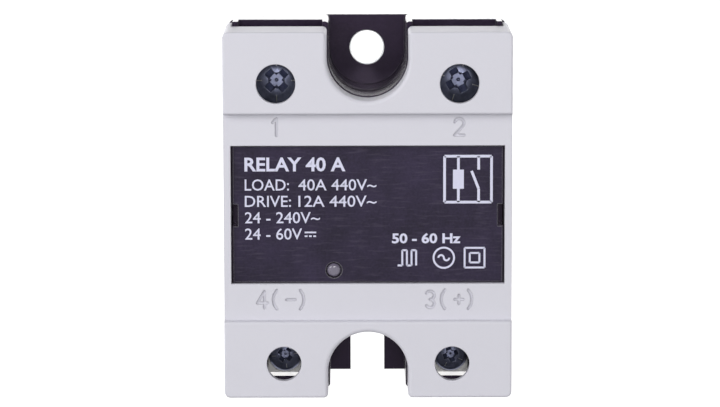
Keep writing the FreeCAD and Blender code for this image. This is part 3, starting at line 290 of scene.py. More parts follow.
def metal_group():
    """Plated or bare metal: clouded colour, fine lines along one direction and brighter edges."""
    group, given, out = new_group(
        "Worked metal",
        [
            ("Colour", "Color", (0.6, 0.6, 0.6, 1)),
            ("Cloud Colour", "Color", (0.5, 0.5, 0.5, 1)),
            ("Cloud Scale", "Float", 700.0),
            ("Line Stretch", "Vector", (1.0, 1.0, 1.0)),
            ("Line Scale", "Float", 3000.0),
            ("Line Depth", "Float", 0.004 * MM),
            ("Roughness", "Float", 0.3),
            ("Roughness Spread", "Float", 0.15),
            ("Edge Radius", "Float", 0.12 * MM),
        ],
        [("Colour", "Color"), ("Roughness", "Float"), ("Normal", "Vector")],
    )
    place = add(group, "TexCoord").outputs["Object"]
    cloud = noise(group, place, given["Cloud Scale"], 5.0, 0.6)["Fac"]
    lines = noise(group, stretched(group, place, given["Line Stretch"]), given["Line Scale"], 3.0, 0.7)["Fac"]
    normal, edge = soft_edges(group, given["Edge Radius"])
    clouded = mixed(group, stepped(group, cloud, 0.35, 0.7), given["Colour"], given["Cloud Colour"])
    brighter = mixed(group, maths(group, "MULTIPLY", edge, 0.35), clouded, (0.85, 0.86, 0.88, 1))
    group.links.new(brighter, out["Colour"])
    spread = maths(group, "MULTIPLY", maths(group, "SUBTRACT", lines, 0.5), given["Roughness Spread"])
    group.links.new(maths(group, "ADD", spread, given["Roughness"], clamp=True), out["Roughness"])
    group.links.new(bumped(group, given["Line Depth"], lines, normal), out["Normal"])
    return group


GROUPS = {"Moulded surface": moulded_group, "Specks": speck_group, "Worked metal": metal_group}


def placed_group(tree, name, values):
    """A shared group inside a material, with that material's own values."""
    shared = bpy.data.node_groups.get(name) or GROUPS[name]()
    return add(tree, "Group", values, node_tree=shared)


# ---------------------------------------------------------------- finishes


def full(rgb):
    return (rgb[0], rgb[1], rgb[2], 1.0)


def lighter(rgb, share):
    """rgb moved towards white by share."""
    return tuple(part + (1 - part) * share for part in rgb[:3])


def dimmed(rgb, share):
    """rgb with a share of its light."""
    return tuple(share * part for part in rgb)


def new_finish(name, group, values, **shader_values):
    """The record's material of this name, its colour, roughness and normal now from a shared group."""
    material = bpy.data.materials.get(name) or bpy.data.materials.new(name)
    material.use_nodes = True
    tree = material.node_tree
    tree.nodes.clear()
    surface = placed_group(tree, group, values)
    inputs = {"Base Color": surface.outputs[0], "Roughness": surface.outputs[1], "Normal": surface.outputs[2]}
    shader = add(tree, "BsdfPrincipled", inputs)
    for socket, value in shader_values.items():
        shader.inputs[socket.replace("_", " ")].default_value = value
    add(tree, "OutputMaterial", {"Surface": shader.outputs[0]})
    return material, tree, shader


def paint_over(tree, shader, amount, tint):
    """Lays one tint over a finish's colour, by an amount from 0 to 1."""
    base = shader.inputs["Base Color"]
    tree.links.new(mixed(tree, amount, base.links[0].from_socket, full(tint)), base)


def add_specks(tree, shader, tint, amount, **values):
    """Marks of one tint over a finish's colour."""
    marks = placed_group(tree, "Specks", values)
    paint_over(tree, shader, maths(tree, "MULTIPLY", marks.outputs["Mask"], amount), tint)


def plastic(
    name, rgb, roughness, grain_depth=0.008 * MM, drift=0.08, edge=0.25, radius=0.2 * MM, **shader_values
):
    """A moulded finish: what the shared group needs, and what goes on the shader's own sockets."""
    values = {
        "Colour": full(rgb),
        "Edge Colour": full(lighter(rgb, 0.35)),
        "Edge Amount": edge,
        "Edge Radius": radius,
        "Drift": drift,
        "Grain Depth": grain_depth,
        "Roughness": roughness,
    }
    return new_finish(name, "Moulded surface", values, **shader_values)


def metal(name, rgb, cloud, roughness, **values):
    """A plated or bare metal finish, clouded between two colours."""
    values.update({"Colour": full(rgb), "Cloud Colour": full(cloud), "Roughness": roughness})
    shine = values.pop("Metallic", 1.0)
    named = {key.replace("_", " "): value for key, value in values.items()}
    return new_finish(name, "Worked metal", named, Metallic=shine)


def cover_plastic(name, palette):
    values = {"grain_depth": 0.012 * MM, "drift": 0.025, "edge": 0.45}
    material, tree, shader = plastic(name, palette.cover, 0.47, **values)
    # painted shade: the edges, the engraved marks' edges among them, are darkened to stand for the shade
    # along the steps and in the grooves; the specks after are handling dirt
    surface = shader.inputs["Base Color"].links[0].from_node
    surface.inputs["Edge Colour"].default_value = full(dimmed(palette.cover, 0.55))
    add_specks(tree, shader, palette.dirt, 0.55, Scale=190.0, Size=0.05, Share=0.22, Raggedness=0.0006)
    add_specks(tree, shader, palette.dirt, 0.35, Scale=520.0, Size=0.07, Share=0.06, Raggedness=0.0003)
    return material


def housing_plastic(name, palette):
    values = {"Specular IOR Level": 0.22, "Specular Tint": (0.86, 0.7, 1.0, 1.0)}
    material, tree, shader = plastic(name, palette.housing, 0.22, drift=0.5, edge=0.2, **values)
    # walls come from polished plates of the mould, faces along its draw from eroded ones
    along = add(tree, "SeparateXYZ", {0: add(tree, "NewGeometry").outputs["True Normal"]}).outputs[1]
    polished = stepped(tree, maths(tree, "ABSOLUTE", along), 0.3, 0.05)
    depth = maths(tree, "SUBTRACT", 0.02 * MM, maths(tree, "MULTIPLY", polished, 0.017 * MM))
    surface = shader.inputs["Base Color"].links[0].from_node
    tree.links.new(depth, surface.inputs["Grain Depth"])
    add_specks(tree, shader, (0.10, 0.09, 0.11), 0.3, Scale=600.0, Size=0.12, Share=0.1, Raggedness=0.0003)
    return material


def label_film(name, palette):
    values = {"grain_depth": 0.004 * MM, "drift": 0.9, "edge": 0.7, "Specular IOR Level": 0.14}
    material, tree, shader = plastic(name, palette.label, 0.45, **values)
    place = stretched(tree, add(tree, "TexCoord").outputs["Object"], (0.12, 1.0, 1.0))
    streaks = noise(tree, place, 2600.0, 3.0)["Fac"]
    dust = maths(tree, "MULTIPLY", stepped(tree, streaks, 0.5, 0.75), 0.16)
    paint_over(tree, shader, dust, (0.14, 0.12, 0.17))
    add_specks(tree, shader, (0.26, 0.24, 0.30), 0.6, Scale=900.0, Size=0.2, Share=0.05, Raggedness=0.0002)
    return material


def label_print(name, palette):
    values = {"grain_depth": 0.002 * MM, "edge": 0.0, "radius": 0.002 * MM}
    return plastic(name, palette.print_ink, 0.5, **values)[0]


def guide_plastic(name, palette):
    values = {"Coat Weight": 0.5, "Coat Roughness": 0.05, "Transmission Weight": 0.15, "IOR": 1.49}
    return plastic(name, (0.17, 0.15, 0.21), 0.2, grain_depth=0.002 * MM, drift=0.25, edge=0.4, **values)[0]


def seal_rubber(name, palette):
    return plastic(name, (0.02, 0.02, 0.022), 0.6, grain_depth=0.02 * MM, drift=0.3, edge=0.0)[0]


def plate_aluminium(name, palette):
    return metal(
        name,
        palette.aluminium,
        (0.67, 0.68, 0.70),
        0.34,
        Cloud_Scale=160.0,
        Line_Stretch=(0.03, 1.0, 1.0),
        Line_Scale=3200.0,
        Line_Depth=0.012 * MM,
        Roughness_Spread=0.3,
    )[0]


def zinc_steel(name, palette):
    return metal(
        name,
        palette.zinc,
        dimmed(palette.zinc, 0.62),
        0.36,
        Metallic=0.8,
        Cloud_Scale=900.0,
        Line_Depth=0.003 * MM,
        Line_Scale=2200.0,
        Edge_Radius=0.07 * MM,
    )[0]


def nickel_plate(name, palette):
    values = {"Cloud_Scale": 500.0, "Line_Depth": 0.02 * MM, "Line_Scale": 900.0, "Metallic": 0.9}
    return metal(name, palette.nickel, (0.8, 0.79, 0.8), 0.34, **values)[0]


def tinned_metal(name, palette):
    return metal(name, (0.72, 0.71, 0.69), (0.55, 0.55, 0.54), 0.32, Cloud_Scale=800.0)[0]


def copper(name, palette):
    values = {"Cloud_Scale": 420.0, "Line_Stretch": (0.1, 1.0, 1.0)}
    return metal(name, palette.copper, (0.62, 0.28, 0.17), 0.28, **values)[0]


def alumina(name, palette):
    return plastic(name, (0.80, 0.80, 0.77), 0.5, grain_depth=0.006 * MM, drift=0.04)[0]


def silicon(name, palette):
    values = {"Cloud_Scale": 300.0, "Line_Depth": 0.001 * MM}
    return metal(name, (0.28, 0.29, 0.33), (0.20, 0.21, 0.25), 0.22, **values)[0]


def board_laminate(name, palette):
    material, tree, shader = plastic(name, palette.board, 0.3, grain_depth=0.003 * MM, drift=0.2)
    place = add(tree, "TexCoord").outputs["Object"]
    tracks = add(tree, "TexBrick", {"Vector": place, "Scale": 160.0, "Mortar Size": 0.05}, offset=0.37)
    paint_over(tree, shader, tracks.outputs["Fac"], lighter(palette.board, 0.1))
    return material


def component_black(name, palette):
    return plastic(name, (0.018, 0.018, 0.02), 0.55, grain_depth=0.012 * MM, drift=0.3)[0]


def capacitor_can(name, palette):
    return plastic(name, (0.03, 0.045, 0.12), 0.3, grain_depth=0.002 * MM, drift=0.1)[0]


def resistor_body(name, palette):
    material, tree, shader = plastic(name, (0.52, 0.42, 0.26), 0.35, drift=0.1)
    place = add(tree, "TexCoord").outputs["Object"]
    across = add(tree, "SeparateXYZ", {0: place}).outputs[0]
    wave = maths(tree, "SINE", maths(tree, "MULTIPLY", across, 5200.0))
    paint_over(tree, shader, stepped(tree, wave, 0.55, 0.75), (0.20, 0.05, 0.02))
    return material


def lamp_plastic(name, palette):
    values = {"Transmission Weight": 0.3, "Emission Strength": 0.0}
    return plastic(name, (0.28, 0.55, 0.20), 0.2, grain_depth=0.001 * MM, drift=0.05, **values)[0]


def film_capacitor(name, palette):
    return plastic(name, (0.62, 0.42, 0.05), 0.35, grain_depth=0.004 * MM, drift=0.08)[0]


def varistor_coating(name, palette):
    return plastic(name, (0.03, 0.09, 0.36), 0.28, grain_depth=0.03 * MM, drift=0.12)[0]


# the finishes already painted, by slot
painted = {}

FINISHES = (
    cover_plastic,
    housing_plastic,
    label_film,
    label_print,
    guide_plastic,
    seal_rubber,
    plate_aluminium,
    zinc_steel,
    nickel_plate,
    tinned_metal,
    copper,
    alumina,
    silicon,
    board_laminate,
    component_black,
    capacitor_can,
    resistor_body,
    lamp_plastic,
    film_capacitor,
    varistor_coating,
)


def finish_named(slot):
    """The material of one of the record's slots, painted when it is first asked for."""
    makers = {maker.__name__: maker for maker in FINISHES}
    if slot not in painted:
        painted[slot] = makers[slot](slot, bpy.context.scene.relay_colours)
    return painted[slot]


def give_finishes(nodes):
    """Gives CAD nodes the material that the record names for each."""
    slots = {entry["node"]: entry["material_slot"] for entry in frame["record"]["subparts"]}
    for node in nodes:
        surface = frame["nodes"][node].data
        surface.materials.clear()
        surface.materials.append(finish_named(slots[node]))


# ---------------------------------------------------------------- pieces


def new_piece(name, shape, slot, body, corner=35):
    """Turns a bmesh into a piece that rides on a body, with edges sharper than corner degrees kept sharp."""
    bmesh.ops.remove_doubles(shape, verts=shape.verts, dist=1e-7)
    bmesh.ops.recalc_face_normals(shape, faces=shape.faces)
    surface = bpy.data.meshes.new(name)
    shape.to_mesh(surface)
    shape.free()
    surface.polygons.foreach_set("use_smooth", [True] * len(surface.polygons))
    surface.set_sharp_from_angle(angle=math.radians(corner))
    surface.materials.append(finish_named(slot))
    piece = bpy.data.objects.new(name, surface)
    bpy.context.scene.collection.objects.link(piece)
    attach(piece, body)
    return piece


def add_bar(shape, start, end, width, back, thick):
    """A straight stroke of ink between two (x, z) points."""
    run = Vector((end[0] - start[0], 0, end[1] - start[1]))
    middle = Vector(((start[0] + end[0]) / 2, back - thick / 2, (start[1] + end[1]) / 2))
    turn = Matrix.Rotation(-math.atan2(run.z, run.x), 4, "Y")
    stretch = Matrix.Diagonal((run.length, thick, width, 1))
    bmesh.ops.create_cube(shape, size=1, matrix=Matrix.Translation(middle) @ turn @ stretch)


def add_frame(shape, low, high, width, back, thick):
    """Four strokes of ink round a rectangle, given by its lower left and upper right (x, z) corners."""
    corners = [low, (high[0], low[1]), high, (low[0], high[1])]
    for start, end in zip(corners, corners[1:] + corners[:1]):
        add_bar(shape, start, end, width, back, thick)


def add_ring(shape, centre, radius, width, back, thick, first=0.0, sweep=2 * math.pi, steps=32):
    """A stroke of ink along an arc round an (x, z) centre, with angles from +X towards +Z."""
    inside, outside = radius - width / 2, radius + width / 2
    corners = [(inside, 0), (outside, 0), (outside, thick), (inside, thick)]
    turn = Matrix.Rotation(-first, 4, "Y")
    middle = Vector((centre[0], back, centre[1]))
    ring = [shape.verts.new(middle + turn @ Vector((out, -forward, 0))) for out, forward in corners]
    face = shape.faces.new(ring)
    whole = abs(sweep - 2 * math.pi) < 1e-6
    path = {"cent": middle, "axis": (0, -1, 0), "angle": sweep, "steps": steps}
    bmesh.ops.spin(shape, geom=[face], use_merge=whole, use_duplicate=False, **path)
    if whole:
        across = turn @ Vector((0, 0, 1))

        def at_start(side):
            return all(abs((corner.co - middle).dot(across)) < 1e-9 for corner in side.verts)

        start = [side for side in shape.faces if at_start(side)]
        bmesh.ops.delete(shape, geom=start, context="FACES_ONLY")


def letters(text, bold):
    """The outlines of a text as a mesh one em high, facing +Z, with its left end at 0."""
    words = bpy.data.curves.new("words", "FONT")
    words.body = text
    words.offset = bold
    words.extrude = 0.01
    words.resolution_u = 3
    carrier = bpy.data.objects.new("words", words)
    bpy.context.scene.collection.objects.link(carrier)
    bpy.context.view_layer.update()
    surface = bpy.data.meshes.new_from_object(carrier.evaluated_get(bpy.context.evaluated_depsgraph_get()))
    bpy.data.objects.remove(carrier)
    bpy.data.curves.remove(words)
    return surface


def add_words(shape, text, left, base, capital, width, back, thick, bold):
    """A line of print: left end, base line, height of its capitals and full width."""
    surface = letters(text, bold)
    tall = letters("H", bold)
    across = [v.co.x for v in surface.vertices]
    tallest = max(v.co.y for v in tall.vertices)
    deep = max(v.co.z for v in surface.vertices)
    grow = Matrix.Diagonal((width / (max(across) - min(across)), capital / tallest, thick / (2 * deep), 1))
    centre = Matrix.Translation((-min(across), 0, deep))
    lift = Matrix.Translation((left, back, base)) @ Matrix.Rotation(math.radians(90), 4, "X")
    surface.transform(lift @ grow @ centre)
    shape.from_mesh(surface)
    for spare in (surface, tall):
        bpy.data.meshes.remove(spare)


def label_place():
    """The label's front face as (left, right, low, high, y)."""
    low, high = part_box("label")
    return low.x, high.x, low.z, high.z, low.y


def make_title(sizes):
    left, _, _, high, face = label_place()
    shape = bmesh.new()
    start, base = left + 1.78 * MM, high - 3.85 * MM
    add_words(shape, "RELAY 40 A", start, base, sizes.title_height, 15.7 * MM, face, sizes.ink, bold=0.025)
    new_piece("label_title", shape, "label_print", FIXED, corner=60)


def make_ratings(sizes):
    """Four rows of generic ratings, the last with the sign for direct current."""
    left, _, _, high, face = label_place()
    start = left + 1.8 * MM
    base = high - 6.9 * MM
    shape = bmesh.new()
    rows = [("LOAD:", 6.9, "40A 440V~", 8.35, 12.15), ("DRIVE:", 7.2, "12A 440V~", 8.35, 12.15)]
    for row, (name, name_width, rating, shift, width) in enumerate(rows):
        line = base - row * sizes.row_pitch
        add_words(shape, name, start, line, sizes.row_height, name_width * MM, face, sizes.ink, bold=0.006)
        place = start + shift * MM
        add_words(shape, rating, place, line, sizes.row_height, width * MM, face, sizes.ink, bold=0.006)
    line = base - 2 * sizes.row_pitch
    add_words(shape, "24 - 240V~", start, line, sizes.row_height, 11.7 * MM, face, sizes.ink, bold=0.006)
    line -= sizes.row_pitch
    add_words(shape, "24 - 60V", start, line, sizes.row_height, 8.9 * MM, face, sizes.ink, bold=0.006)
    bar, thin = start + 9.3 * MM, 0.25 * MM
    add_bar(shape, (bar, line + 1.1 * MM), (bar + 1.8 * MM, line + 1.1 * MM), thin, face, sizes.ink)
    for step in range(3):
        dash = bar + step * 0.67 * MM
        add_bar(shape, (dash, line + 0.5 * MM), (dash + 0.44 * MM, line + 0.5 * MM), thin, face, sizes.ink)
    new_piece("label_ratings", shape, "label_print", FIXED, corner=60)


def make_symbol(sizes):
    """A coil and an open contact in a frame: the plain drawing-office sign for a relay."""
    _, right, _, high, face = label_place()
    left, top = right - 9.0 * MM, high - 1.6 * MM
    wide, tall, line = 7.3 * MM, 7.2 * MM, 0.42 * MM
    low = top - tall
    shape = bmesh.new()
    add_frame(shape, (left, low), (left + wide, top), line, face, sizes.ink)
    coil_left, coil_right = left + 1.3 * MM, left + 3.0 * MM
    coil_low, coil_high = low + 2.1 * MM, top - 2.1 * MM
    middle = (coil_low + coil_high) / 2
    add_bar(shape, (coil_left, middle), (coil_right, middle), coil_high - coil_low, face, sizes.ink)
    lead = (coil_left + coil_right) / 2
    for start, end in ((coil_high, top), (low, coil_low)):
        add_bar(shape, (lead, start), (lead, end), line, face, sizes.ink)
    contact = left + wide - 2.0 * MM
    add_bar(shape, (contact, low), (contact, coil_low), line, face, sizes.ink)
    add_bar(shape, (contact, top), (contact, coil_high), line, face, sizes.ink)
    add_bar(shape, (contact, coil_low), (contact - 1.1 * MM, coil_high - 0.2 * MM), line, face, sizes.ink)
    new_piece("label_symbol", shape, "label_print", FIXED, corner=60)


def make_marks(sizes):
    """The small row and the three plain pictograms at the lower right."""
    left, right, low, _, face = label_place()
    shape = bmesh.new()
    start, base = right - 17.2 * MM, low + 6.1 * MM
    add_words(shape, "50 - 60 Hz", start, base, 1.5 * MM, 10.7 * MM, face, sizes.ink, bold=0.03)
    middle, thin = low + 3.75 * MM, 0.3 * MM
    # a pulse between two posts
    place = start + 0.9 * MM
    step = 0.72 * MM
    heights = [-1.2, -1.2, 1.2, 1.2, -1.2, -1.2, 1.2, 1.2, -1.2]
    xs = [0, 1, 1, 2, 2, 3, 3, 4, 4]
    points = [(place + x * step, middle + height * MM) for x, height in zip(xs, heights)]
    for first, second in zip(points, points[1:]):
        add_bar(shape, first, second, thin, face, sizes.ink)
    # a wave in a circle
    centre = (start + 8.1 * MM, middle)
    add_ring(shape, centre, 1.6 * MM, thin, face, sizes.ink)
    bow = 0.42 * MM
    for side, first in ((-bow, 0), (bow, math.pi)):
        arc = {"first": first, "sweep": math.pi, "steps": 12}
        add_ring(shape, (centre[0] + side, middle), bow, thin, face, sizes.ink, **arc)
    # a square in a square
    x, z = start + 12.9 * MM, middle
    for half in (1.55 * MM, 0.75 * MM):
        add_frame(shape, (x - half, z - half), (x + half, z + half), thin, face, sizes.ink)
    new_piece("label_marks", shape, "label_print", FIXED, corner=60)


def arc_points(centre, radius, first, last, steps):
    """(radius, depth) points of an arc in a turned profile, with degrees from outwards to the front."""
    points = []
    for step in range(steps + 1):
        turn = math.radians(first + (last - first) * step / steps)
        points.append((centre[0] + radius * math.cos(turn), centre[1] + radius * math.sin(turn)))
    return points


def turned(profile, steps):
    """A solid turned about the Y axis from (radius, depth) points, where depth runs along -Y."""
    shape = bmesh.new()
    corners = [shape.verts.new((out, -deep, 0)) for out, deep in profile]
    edges = [shape.edges.new(pair) for pair in zip(corners, corners[1:])]
    path = {"cent": (0, 0, 0), "axis": (0, 1, 0), "angle": 2 * math.pi, "steps": steps}
    bmesh.ops.spin(shape, geom=corners + edges, use_merge=True, **path)
    bmesh.ops.remove_doubles(shape, verts=shape.verts, dist=1e-7)
    bmesh.ops.recalc_face_normals(shape, faces=shape.faces)
    return shape


def drive_cutter(head, depth, top, reach):
    """What a cross drive takes out of a head: four tapered arms and a pointed well."""
    shape = bmesh.new()
    over = 0.4 * MM
    arm, web = reach * head, 0.16 * head
    for quarter in range(2):
        made = bmesh.ops.create_cube(shape, size=1)["verts"]
        spin = Matrix.Rotation(math.radians(90 * quarter), 4, "Y")
        for vert in made:
            if vert.co.y < 0:
                along, across, level = 1.08, 1.05, top + over
            else:
                along, across, level = 0.42, 0.8, top - depth
            place = Vector((vert.co.x * 2 * arm * along, -level, vert.co.z * 2 * web * across))
            vert.co = spin @ place
    cone = Matrix.Translation((0, -(top - depth * 0.35), 0)) @ Matrix.Rotation(math.radians(90), 4, "X")
    ends = {"radius1": 0.02 * head, "radius2": 0.44 * head, "depth": depth * 1.7}
    bmesh.ops.create_cone(shape, cap_ends=True, segments=16, matrix=cone, **ends)
    bmesh.ops.recalc_face_normals(shape, faces=shape.faces)
    return shape


def carved(body, cutter):
    """body with cutter taken away, as a new bmesh."""
    held = []
    for name, shape in (("blank", body), ("cutter", cutter)):
        surface = bpy.data.meshes.new(name)
        shape.to_mesh(surface)
        shape.free()
        thing = bpy.data.objects.new(name, surface)
        bpy.context.scene.collection.objects.link(thing)
        held.append(thing)
    taken = held[0].modifiers.new("recess", "BOOLEAN")
    taken.object = held[1]
    taken.operation = "DIFFERENCE"
    taken.solver = "EXACT"
    taken.use_self = True
    bpy.context.view_layer.update()
    made = held[0].evaluated_get(bpy.context.evaluated_depsgraph_get()).to_mesh()
    result = bmesh.new()
    result.from_mesh(made)
    for thing in held:
        surface = thing.data
        bpy.data.objects.remove(thing)
        bpy.data.meshes.remove(surface)
    return result


# a pan head, as shares of its own radius: its dome's radius and reach, and the rounding at its rim
DOME_RADIUS = 2.6
DOME_REACH = 0.72
RIM_RADIUS = 0.28


def screw_profile(head, head_height, thread, pitch, reach, thread_depth):
    """Half outline of a pan-head screw, from its head's middle to its point; depth 0 is under the head."""
    chamfer = 0.12 * head_height
    dome, reached, corner = DOME_RADIUS * head, DOME_REACH * head, RIM_RADIUS * head
    swing = math.degrees(math.asin(reached / dome))
    points = [(0, head_height)]
    points += arc_points((0, head_height - dome), dome, 90 - 3, 90 - swing, 5)[:-1]
    shoulder = head_height - dome + dome * math.cos(math.radians(swing))
    points.append((reached, shoulder))
    points += arc_points((head - corner, shoulder - corner), corner, 80, 0, 6)
    points += [(head, chamfer), (head - chamfer, 0), (thread * 0.86, 0)]
    root = thread - thread_depth * pitch
    depth = 0.6 * pitch
    while depth < reach - pitch:
        points += [(root, -depth), (thread, -(depth + 0.5 * pitch))]
        depth += pitch
    points += [(root, -depth), (thread * 0.7, -reach), (0, -reach)]
    return points


def index_ridges_painted_glint(head, top, place):
    """Four fine ridges on a head, between the arms of its cross recess, in bright nickel as a painted glint
    on the zinc head.
    """
    shape = bmesh.new()
    out, dome = 0.66 * head, DOME_RADIUS * head
    drop = dome - math.sqrt(dome * dome - out * out)
    lean = Matrix.Rotation(math.asin(out / dome), 4, "Z")
    long, high, wide = 0.26 * head, 0.06 * MM, 0.04 * head
    size = Matrix.Diagonal((long, high, wide, 1))
    ridge = Matrix.Translation((out, drop - top, 0)) @ lean @ size
    for quarter in range(4):
        spin = Matrix.Rotation(math.radians(45 + 90 * quarter), 4, "Y")
        bmesh.ops.create_cube(shape, size=1, matrix=place @ spin @ ridge)
    return shape


# name, turn in degrees, pitch, radius of the thread, and reach below the head
SCREWS = (
    ("line", 45, 0.8 * MM, 2.5 * MM, 11.0 * MM),
    ("load", 62, 0.8 * MM, 2.5 * MM, 11.0 * MM),
    ("minus", 38, 0.5 * MM, 1.5 * MM, 8.0 * MM),
    ("plus", 71, 0.5 * MM, 1.5 * MM, 8.0 * MM),
)


def make_screws(sizes):
    """The four clamp screws, each turned a little differently."""
    for name, turn, pitch, thread, reach in SCREWS:
        node = f"{name}_screw"
        low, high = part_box(node)
        head = (high.x - low.x) / 2
        head_height = (high.y - low.y) - reach
        middle = Vector(((low.x + high.x) / 2, high.y - reach, (low.z + high.z) / 2))
        blank = turned(screw_profile(head, head_height, thread, pitch, reach, sizes.thread_depth), 72)
        tool = drive_cutter(head, sizes.recess_depth * head_height, head_height, sizes.recess_reach)
        shape = carved(blank, tool)
        place = Matrix.Translation(middle) @ Matrix.Rotation(math.radians(turn), 4, "Y")
        bmesh.ops.transform(shape, matrix=place, verts=shape.verts)
        piece = new_piece(f"{name}_clamp_screw", shape, "zinc_steel", node, corner=32)
        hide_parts(node)
        # painted glint: the index ridges take the bright nickel finish, though the screw is all zinc
        new_piece(f"{name}_index_lines", index_ridges_painted_glint(head, head_height, place), "nickel_plate", node)


# ---------------------------------------------------------------- studio


def new_light(name, place, target, width, height, power):
    lamp = bpy.data.lights.new(name, "AREA")
    lamp.shape = "RECTANGLE"
    lamp.size, lamp.size_y = width, height
    lamp.energy = power
    holder = bpy.data.objects.new(name, lamp)
    bpy.context.scene.collection.objects.link(holder)
    holder.location = place
    holder.rotation_euler = (Vector(target) - Vector(place)).to_track_quat("-Z", "Y").to_euler()


FULL_WHITE = 1.02
FLOOR_RADIUS = 4.0
FLOOR_GLOW = 0.12
FLOOR_GLOW_SEEN = 0.93


def make_world(studio):
    """Full white to the eye; on the relay a softer light, dimmer from above and strong low down behind."""
    world = bpy.data.worlds.new("Studio")
    world.use_nodes = True
    tree = world.node_tree
    tree.nodes.clear()
    seen = add(tree, "LightPath").outputs["Is Camera Ray"]
    way = add(tree, "SeparateXYZ", {0: add(tree, "TexCoord").outputs["Generated"]}).outputs
    rear = maths(tree, "MULTIPLY", stepped(tree, way[1], 0.3, 0.85), stepped(tree, way[2], 0.5, 0.15))
    dimmer = maths(tree, "SUBTRACT", 1.0, maths(tree, "MULTIPLY", stepped(tree, way[2], 0.1, 0.8), 0.75))
    round_it = maths(tree, "MULTIPLY", dimmer, studio.ambient)
    cast = maths(tree, "ADD", round_it, maths(tree, "MULTIPLY", rear, studio.behind))
    unseen = maths(tree, "MULTIPLY", maths(tree, "SUBTRACT", 1.0, seen), cast)
    amount = maths(tree, "ADD", unseen, maths(tree, "MULTIPLY", seen, FULL_WHITE))
    back = add(tree, "Background", {"Color": (1, 1, 1, 1), "Strength": amount})
    add(tree, "OutputWorld", {"Surface": back.outputs[0]})
    bpy.context.scene.world = world


def make_floor():
    """A plain white floor, lit from within so that it stays as pale as the air behind it."""
    shape = bmesh.new()
    bmesh.ops.create_circle(shape, cap_ends=True, segments=64, radius=FLOOR_RADIUS)
    surface = bpy.data.meshes.new("floor")
    shape.to_mesh(surface)
    shape.free()
    floor = bpy.data.objects.new("floor", surface)
    floor.location.z = cad_low.z - 0.01 * MM
    bpy.context.scene.collection.objects.link(floor)
    material = bpy.data.materials.new("floor_white")
    material.use_nodes = True
    tree = material.node_tree
    tree.nodes.clear()
    rays = add(tree, "LightPath").outputs
    seen = maths(tree, "MAXIMUM", rays["Is Camera Ray"], rays["Is Glossy Ray"])
    glow = maths(tree, "ADD", maths(tree, "MULTIPLY", seen, FLOOR_GLOW_SEEN), FLOOR_GLOW)
    inputs = {"Base Color": (0.3, 0.3, 0.3, 1), "Roughness": 0.9, "Emission Color": (1, 1, 1, 1)}
    shader = add(tree, "BsdfPrincipled", {**inputs, "Emission Strength": glow})
    add(tree, "OutputMaterial", {"Surface": shader.outputs[0]})
    surface.materials.append(material)


def make_camera(studio):
    lens = bpy.data.cameras.new("Camera")
    lens.lens = studio.lens
    lens.sensor_width = 36.0
    lens.clip_start, lens.clip_end = 0.01, 20.0
    holder = bpy.data.objects.new("Camera", lens)
    bpy.context.scene.collection.objects.link(holder)
    holder.location = studio.eye
    level = Matrix.Rotation(studio.yaw, 3, "Z") @ Matrix.Rotation(math.pi / 2 - studio.pitch, 3, "X")
    holder.rotation_euler = (level @ Matrix.Rotation(studio.roll, 3, "Z")).to_euler()
    bpy.context.scene.camera = holder


# ---------------------------------------------------------------- operators


class RelayOperator(bpy.types.Operator):
    """What all the relay's operators share."""

    bl_options = {"REGISTER", "UNDO"}
    nodes = ()

    def execute(self, context):
        give_finishes(self.nodes)
        return {"FINISHED"}


class RELAY_OT_mouldings(RelayOperator):
    """Finish the cover, the housing, the seal and the light guide"""

    bl_idname = "relay.mouldings"
    bl_label = "Mouldings"
    nodes = ("cover", "housing", "base_seal", "light_guide")


class RELAY_OT_base_plate(RelayOperator):
    """Finish the brushed aluminium base plate"""

    bl_idname = "relay.base_plate"
    bl_label = "Base plate"
    nodes = ("base_plate",)


class RELAY_OT_label(RelayOperator):
    """Finish the label and print it"""

    bl_idname = "relay.label"
    bl_label = "Label"
    nodes = ("label",)

    def execute(self, context):
        give_finishes(self.nodes)
        for make in (make_title, make_ratings, make_symbol, make_marks):
            make(context.scene.relay_sizes)
        return {"FINISHED"}


class RELAY_OT_terminals(RelayOperator):
    """Finish the busbars, strips, nuts, clamps and washers"""

    bl_idname = "relay.terminals"
    bl_label = "Terminals"
    nodes = ("line_busbar", "load_busbar", "minus_strip", "plus_strip")
    nodes += tuple(f"{name}_{piece}" for name in TERMINALS for piece in ("nut", "clamp", "lock_washer"))


class RELAY_OT_screws(RelayOperator):
    """Turn and cut the four clamp screws"""

    bl_idname = "relay.screws"
    bl_label = "Screws"
    nodes = tuple(f"{name}_screw" for name in TERMINALS)

    def execute(self, context):
        give_finishes(self.nodes)
        make_screws(context.scene.relay_sizes)
        return {"FINISHED"}


class RELAY_OT_power_stage(RelayOperator):
    """Finish the ceramic, its conductors, the chips and their straps"""

    bl_idname = "relay.power_stage"
    bl_label = "Power stage"
    nodes = (
        "ceramic_substrate",
        "line_conductor",
        "load_conductor",
        "forward_thyristor",
        "reverse_thyristor",
        "forward_strap",
        "reverse_strap",
    )


class RELAY_OT_driver_board(RelayOperator):
    """Finish the driver board and what is soldered to it"""

    bl_idname = "relay.driver_board"
    bl_label = "Driver board"
    nodes = (
        "circuit_board",
        "gate_pins",
        "optocoupler",
        "optocoupler_legs",
        "bridge_rectifier",
        "smoothing_capacitor",
        "input_resistors",
        "status_light",
        "snubber_capacitor",
        "snubber_resistor",
        "varistor",
        "driver_transistors",
    )


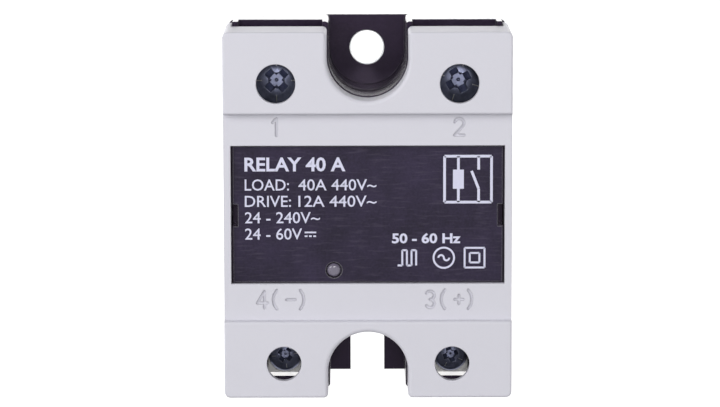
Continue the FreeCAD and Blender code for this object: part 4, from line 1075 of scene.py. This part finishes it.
class RELAY_OT_stage(bpy.types.Operator):
    """Set up the floor, the lights and the camera"""

    bl_idname = "relay.stage"
    bl_label = "Stage"

    def execute(self, context):
        studio = context.scene.relay_studio
        middle = (cad_low + cad_high) / 2
        make_world(studio)
        make_floor()
        new_light("key", (-0.45, -0.50, 0.36), middle, 0.35, 0.3, studio.key)
        new_light("front", (0.02, -0.90, 0.21), middle, 0.12, 0.12, studio.front)
        new_light("left", (-0.62, -0.28, 0.16), middle, 0.25, 0.5, studio.side)
        new_light("right", (0.62, -0.28, 0.16), middle, 0.25, 0.5, studio.side)
        make_camera(studio)
        context.scene.view_settings.view_transform = "Standard"
        return {"FINISHED"}


OPERATORS = (
    RELAY_OT_mouldings,
    RELAY_OT_base_plate,
    RELAY_OT_label,
    RELAY_OT_terminals,
    RELAY_OT_screws,
    RELAY_OT_power_stage,
    RELAY_OT_driver_board,
    RELAY_OT_stage,
)


class RELAY_PT_panel(bpy.types.Panel):
    """The relay's sizes, colours and operators"""

    bl_idname = "RELAY_PT_panel"
    bl_label = "Solid state relay"
    bl_space_type = "VIEW_3D"
    bl_region_type = "UI"
    bl_category = "Relay"

    def draw(self, context):
        for group in (context.scene.relay_colours, context.scene.relay_sizes, context.scene.relay_studio):
            box = self.layout.box()
            for name in group.bl_rna.properties.keys():
                if name not in ("rna_type", "name"):
                    box.prop(group, name)
        for operator in OPERATORS:
            self.layout.operator(operator.bl_idname)


GROUP_PLACES = (("relay_colours", RelayColours), ("relay_sizes", RelaySizes), ("relay_studio", RelayStudio))
CLASSES = tuple(kind for _, kind in GROUP_PLACES) + OPERATORS + (RELAY_PT_panel,)


def register():
    for kind in CLASSES:
        bpy.utils.register_class(kind)
    for name, kind in GROUP_PLACES:
        setattr(bpy.types.Scene, name, PointerProperty(type=kind))


def unregister():
    for name, _ in GROUP_PLACES:
        delattr(bpy.types.Scene, name)
    for kind in reversed(CLASSES):
        bpy.utils.unregister_class(kind)


def main():
    """Makes every piece and the stage."""
    register()
    for operator in OPERATORS:
        family, name = operator.bl_idname.split(".")
        getattr(getattr(bpy.ops, family), name)()


if __name__ == "__main__":
    main()
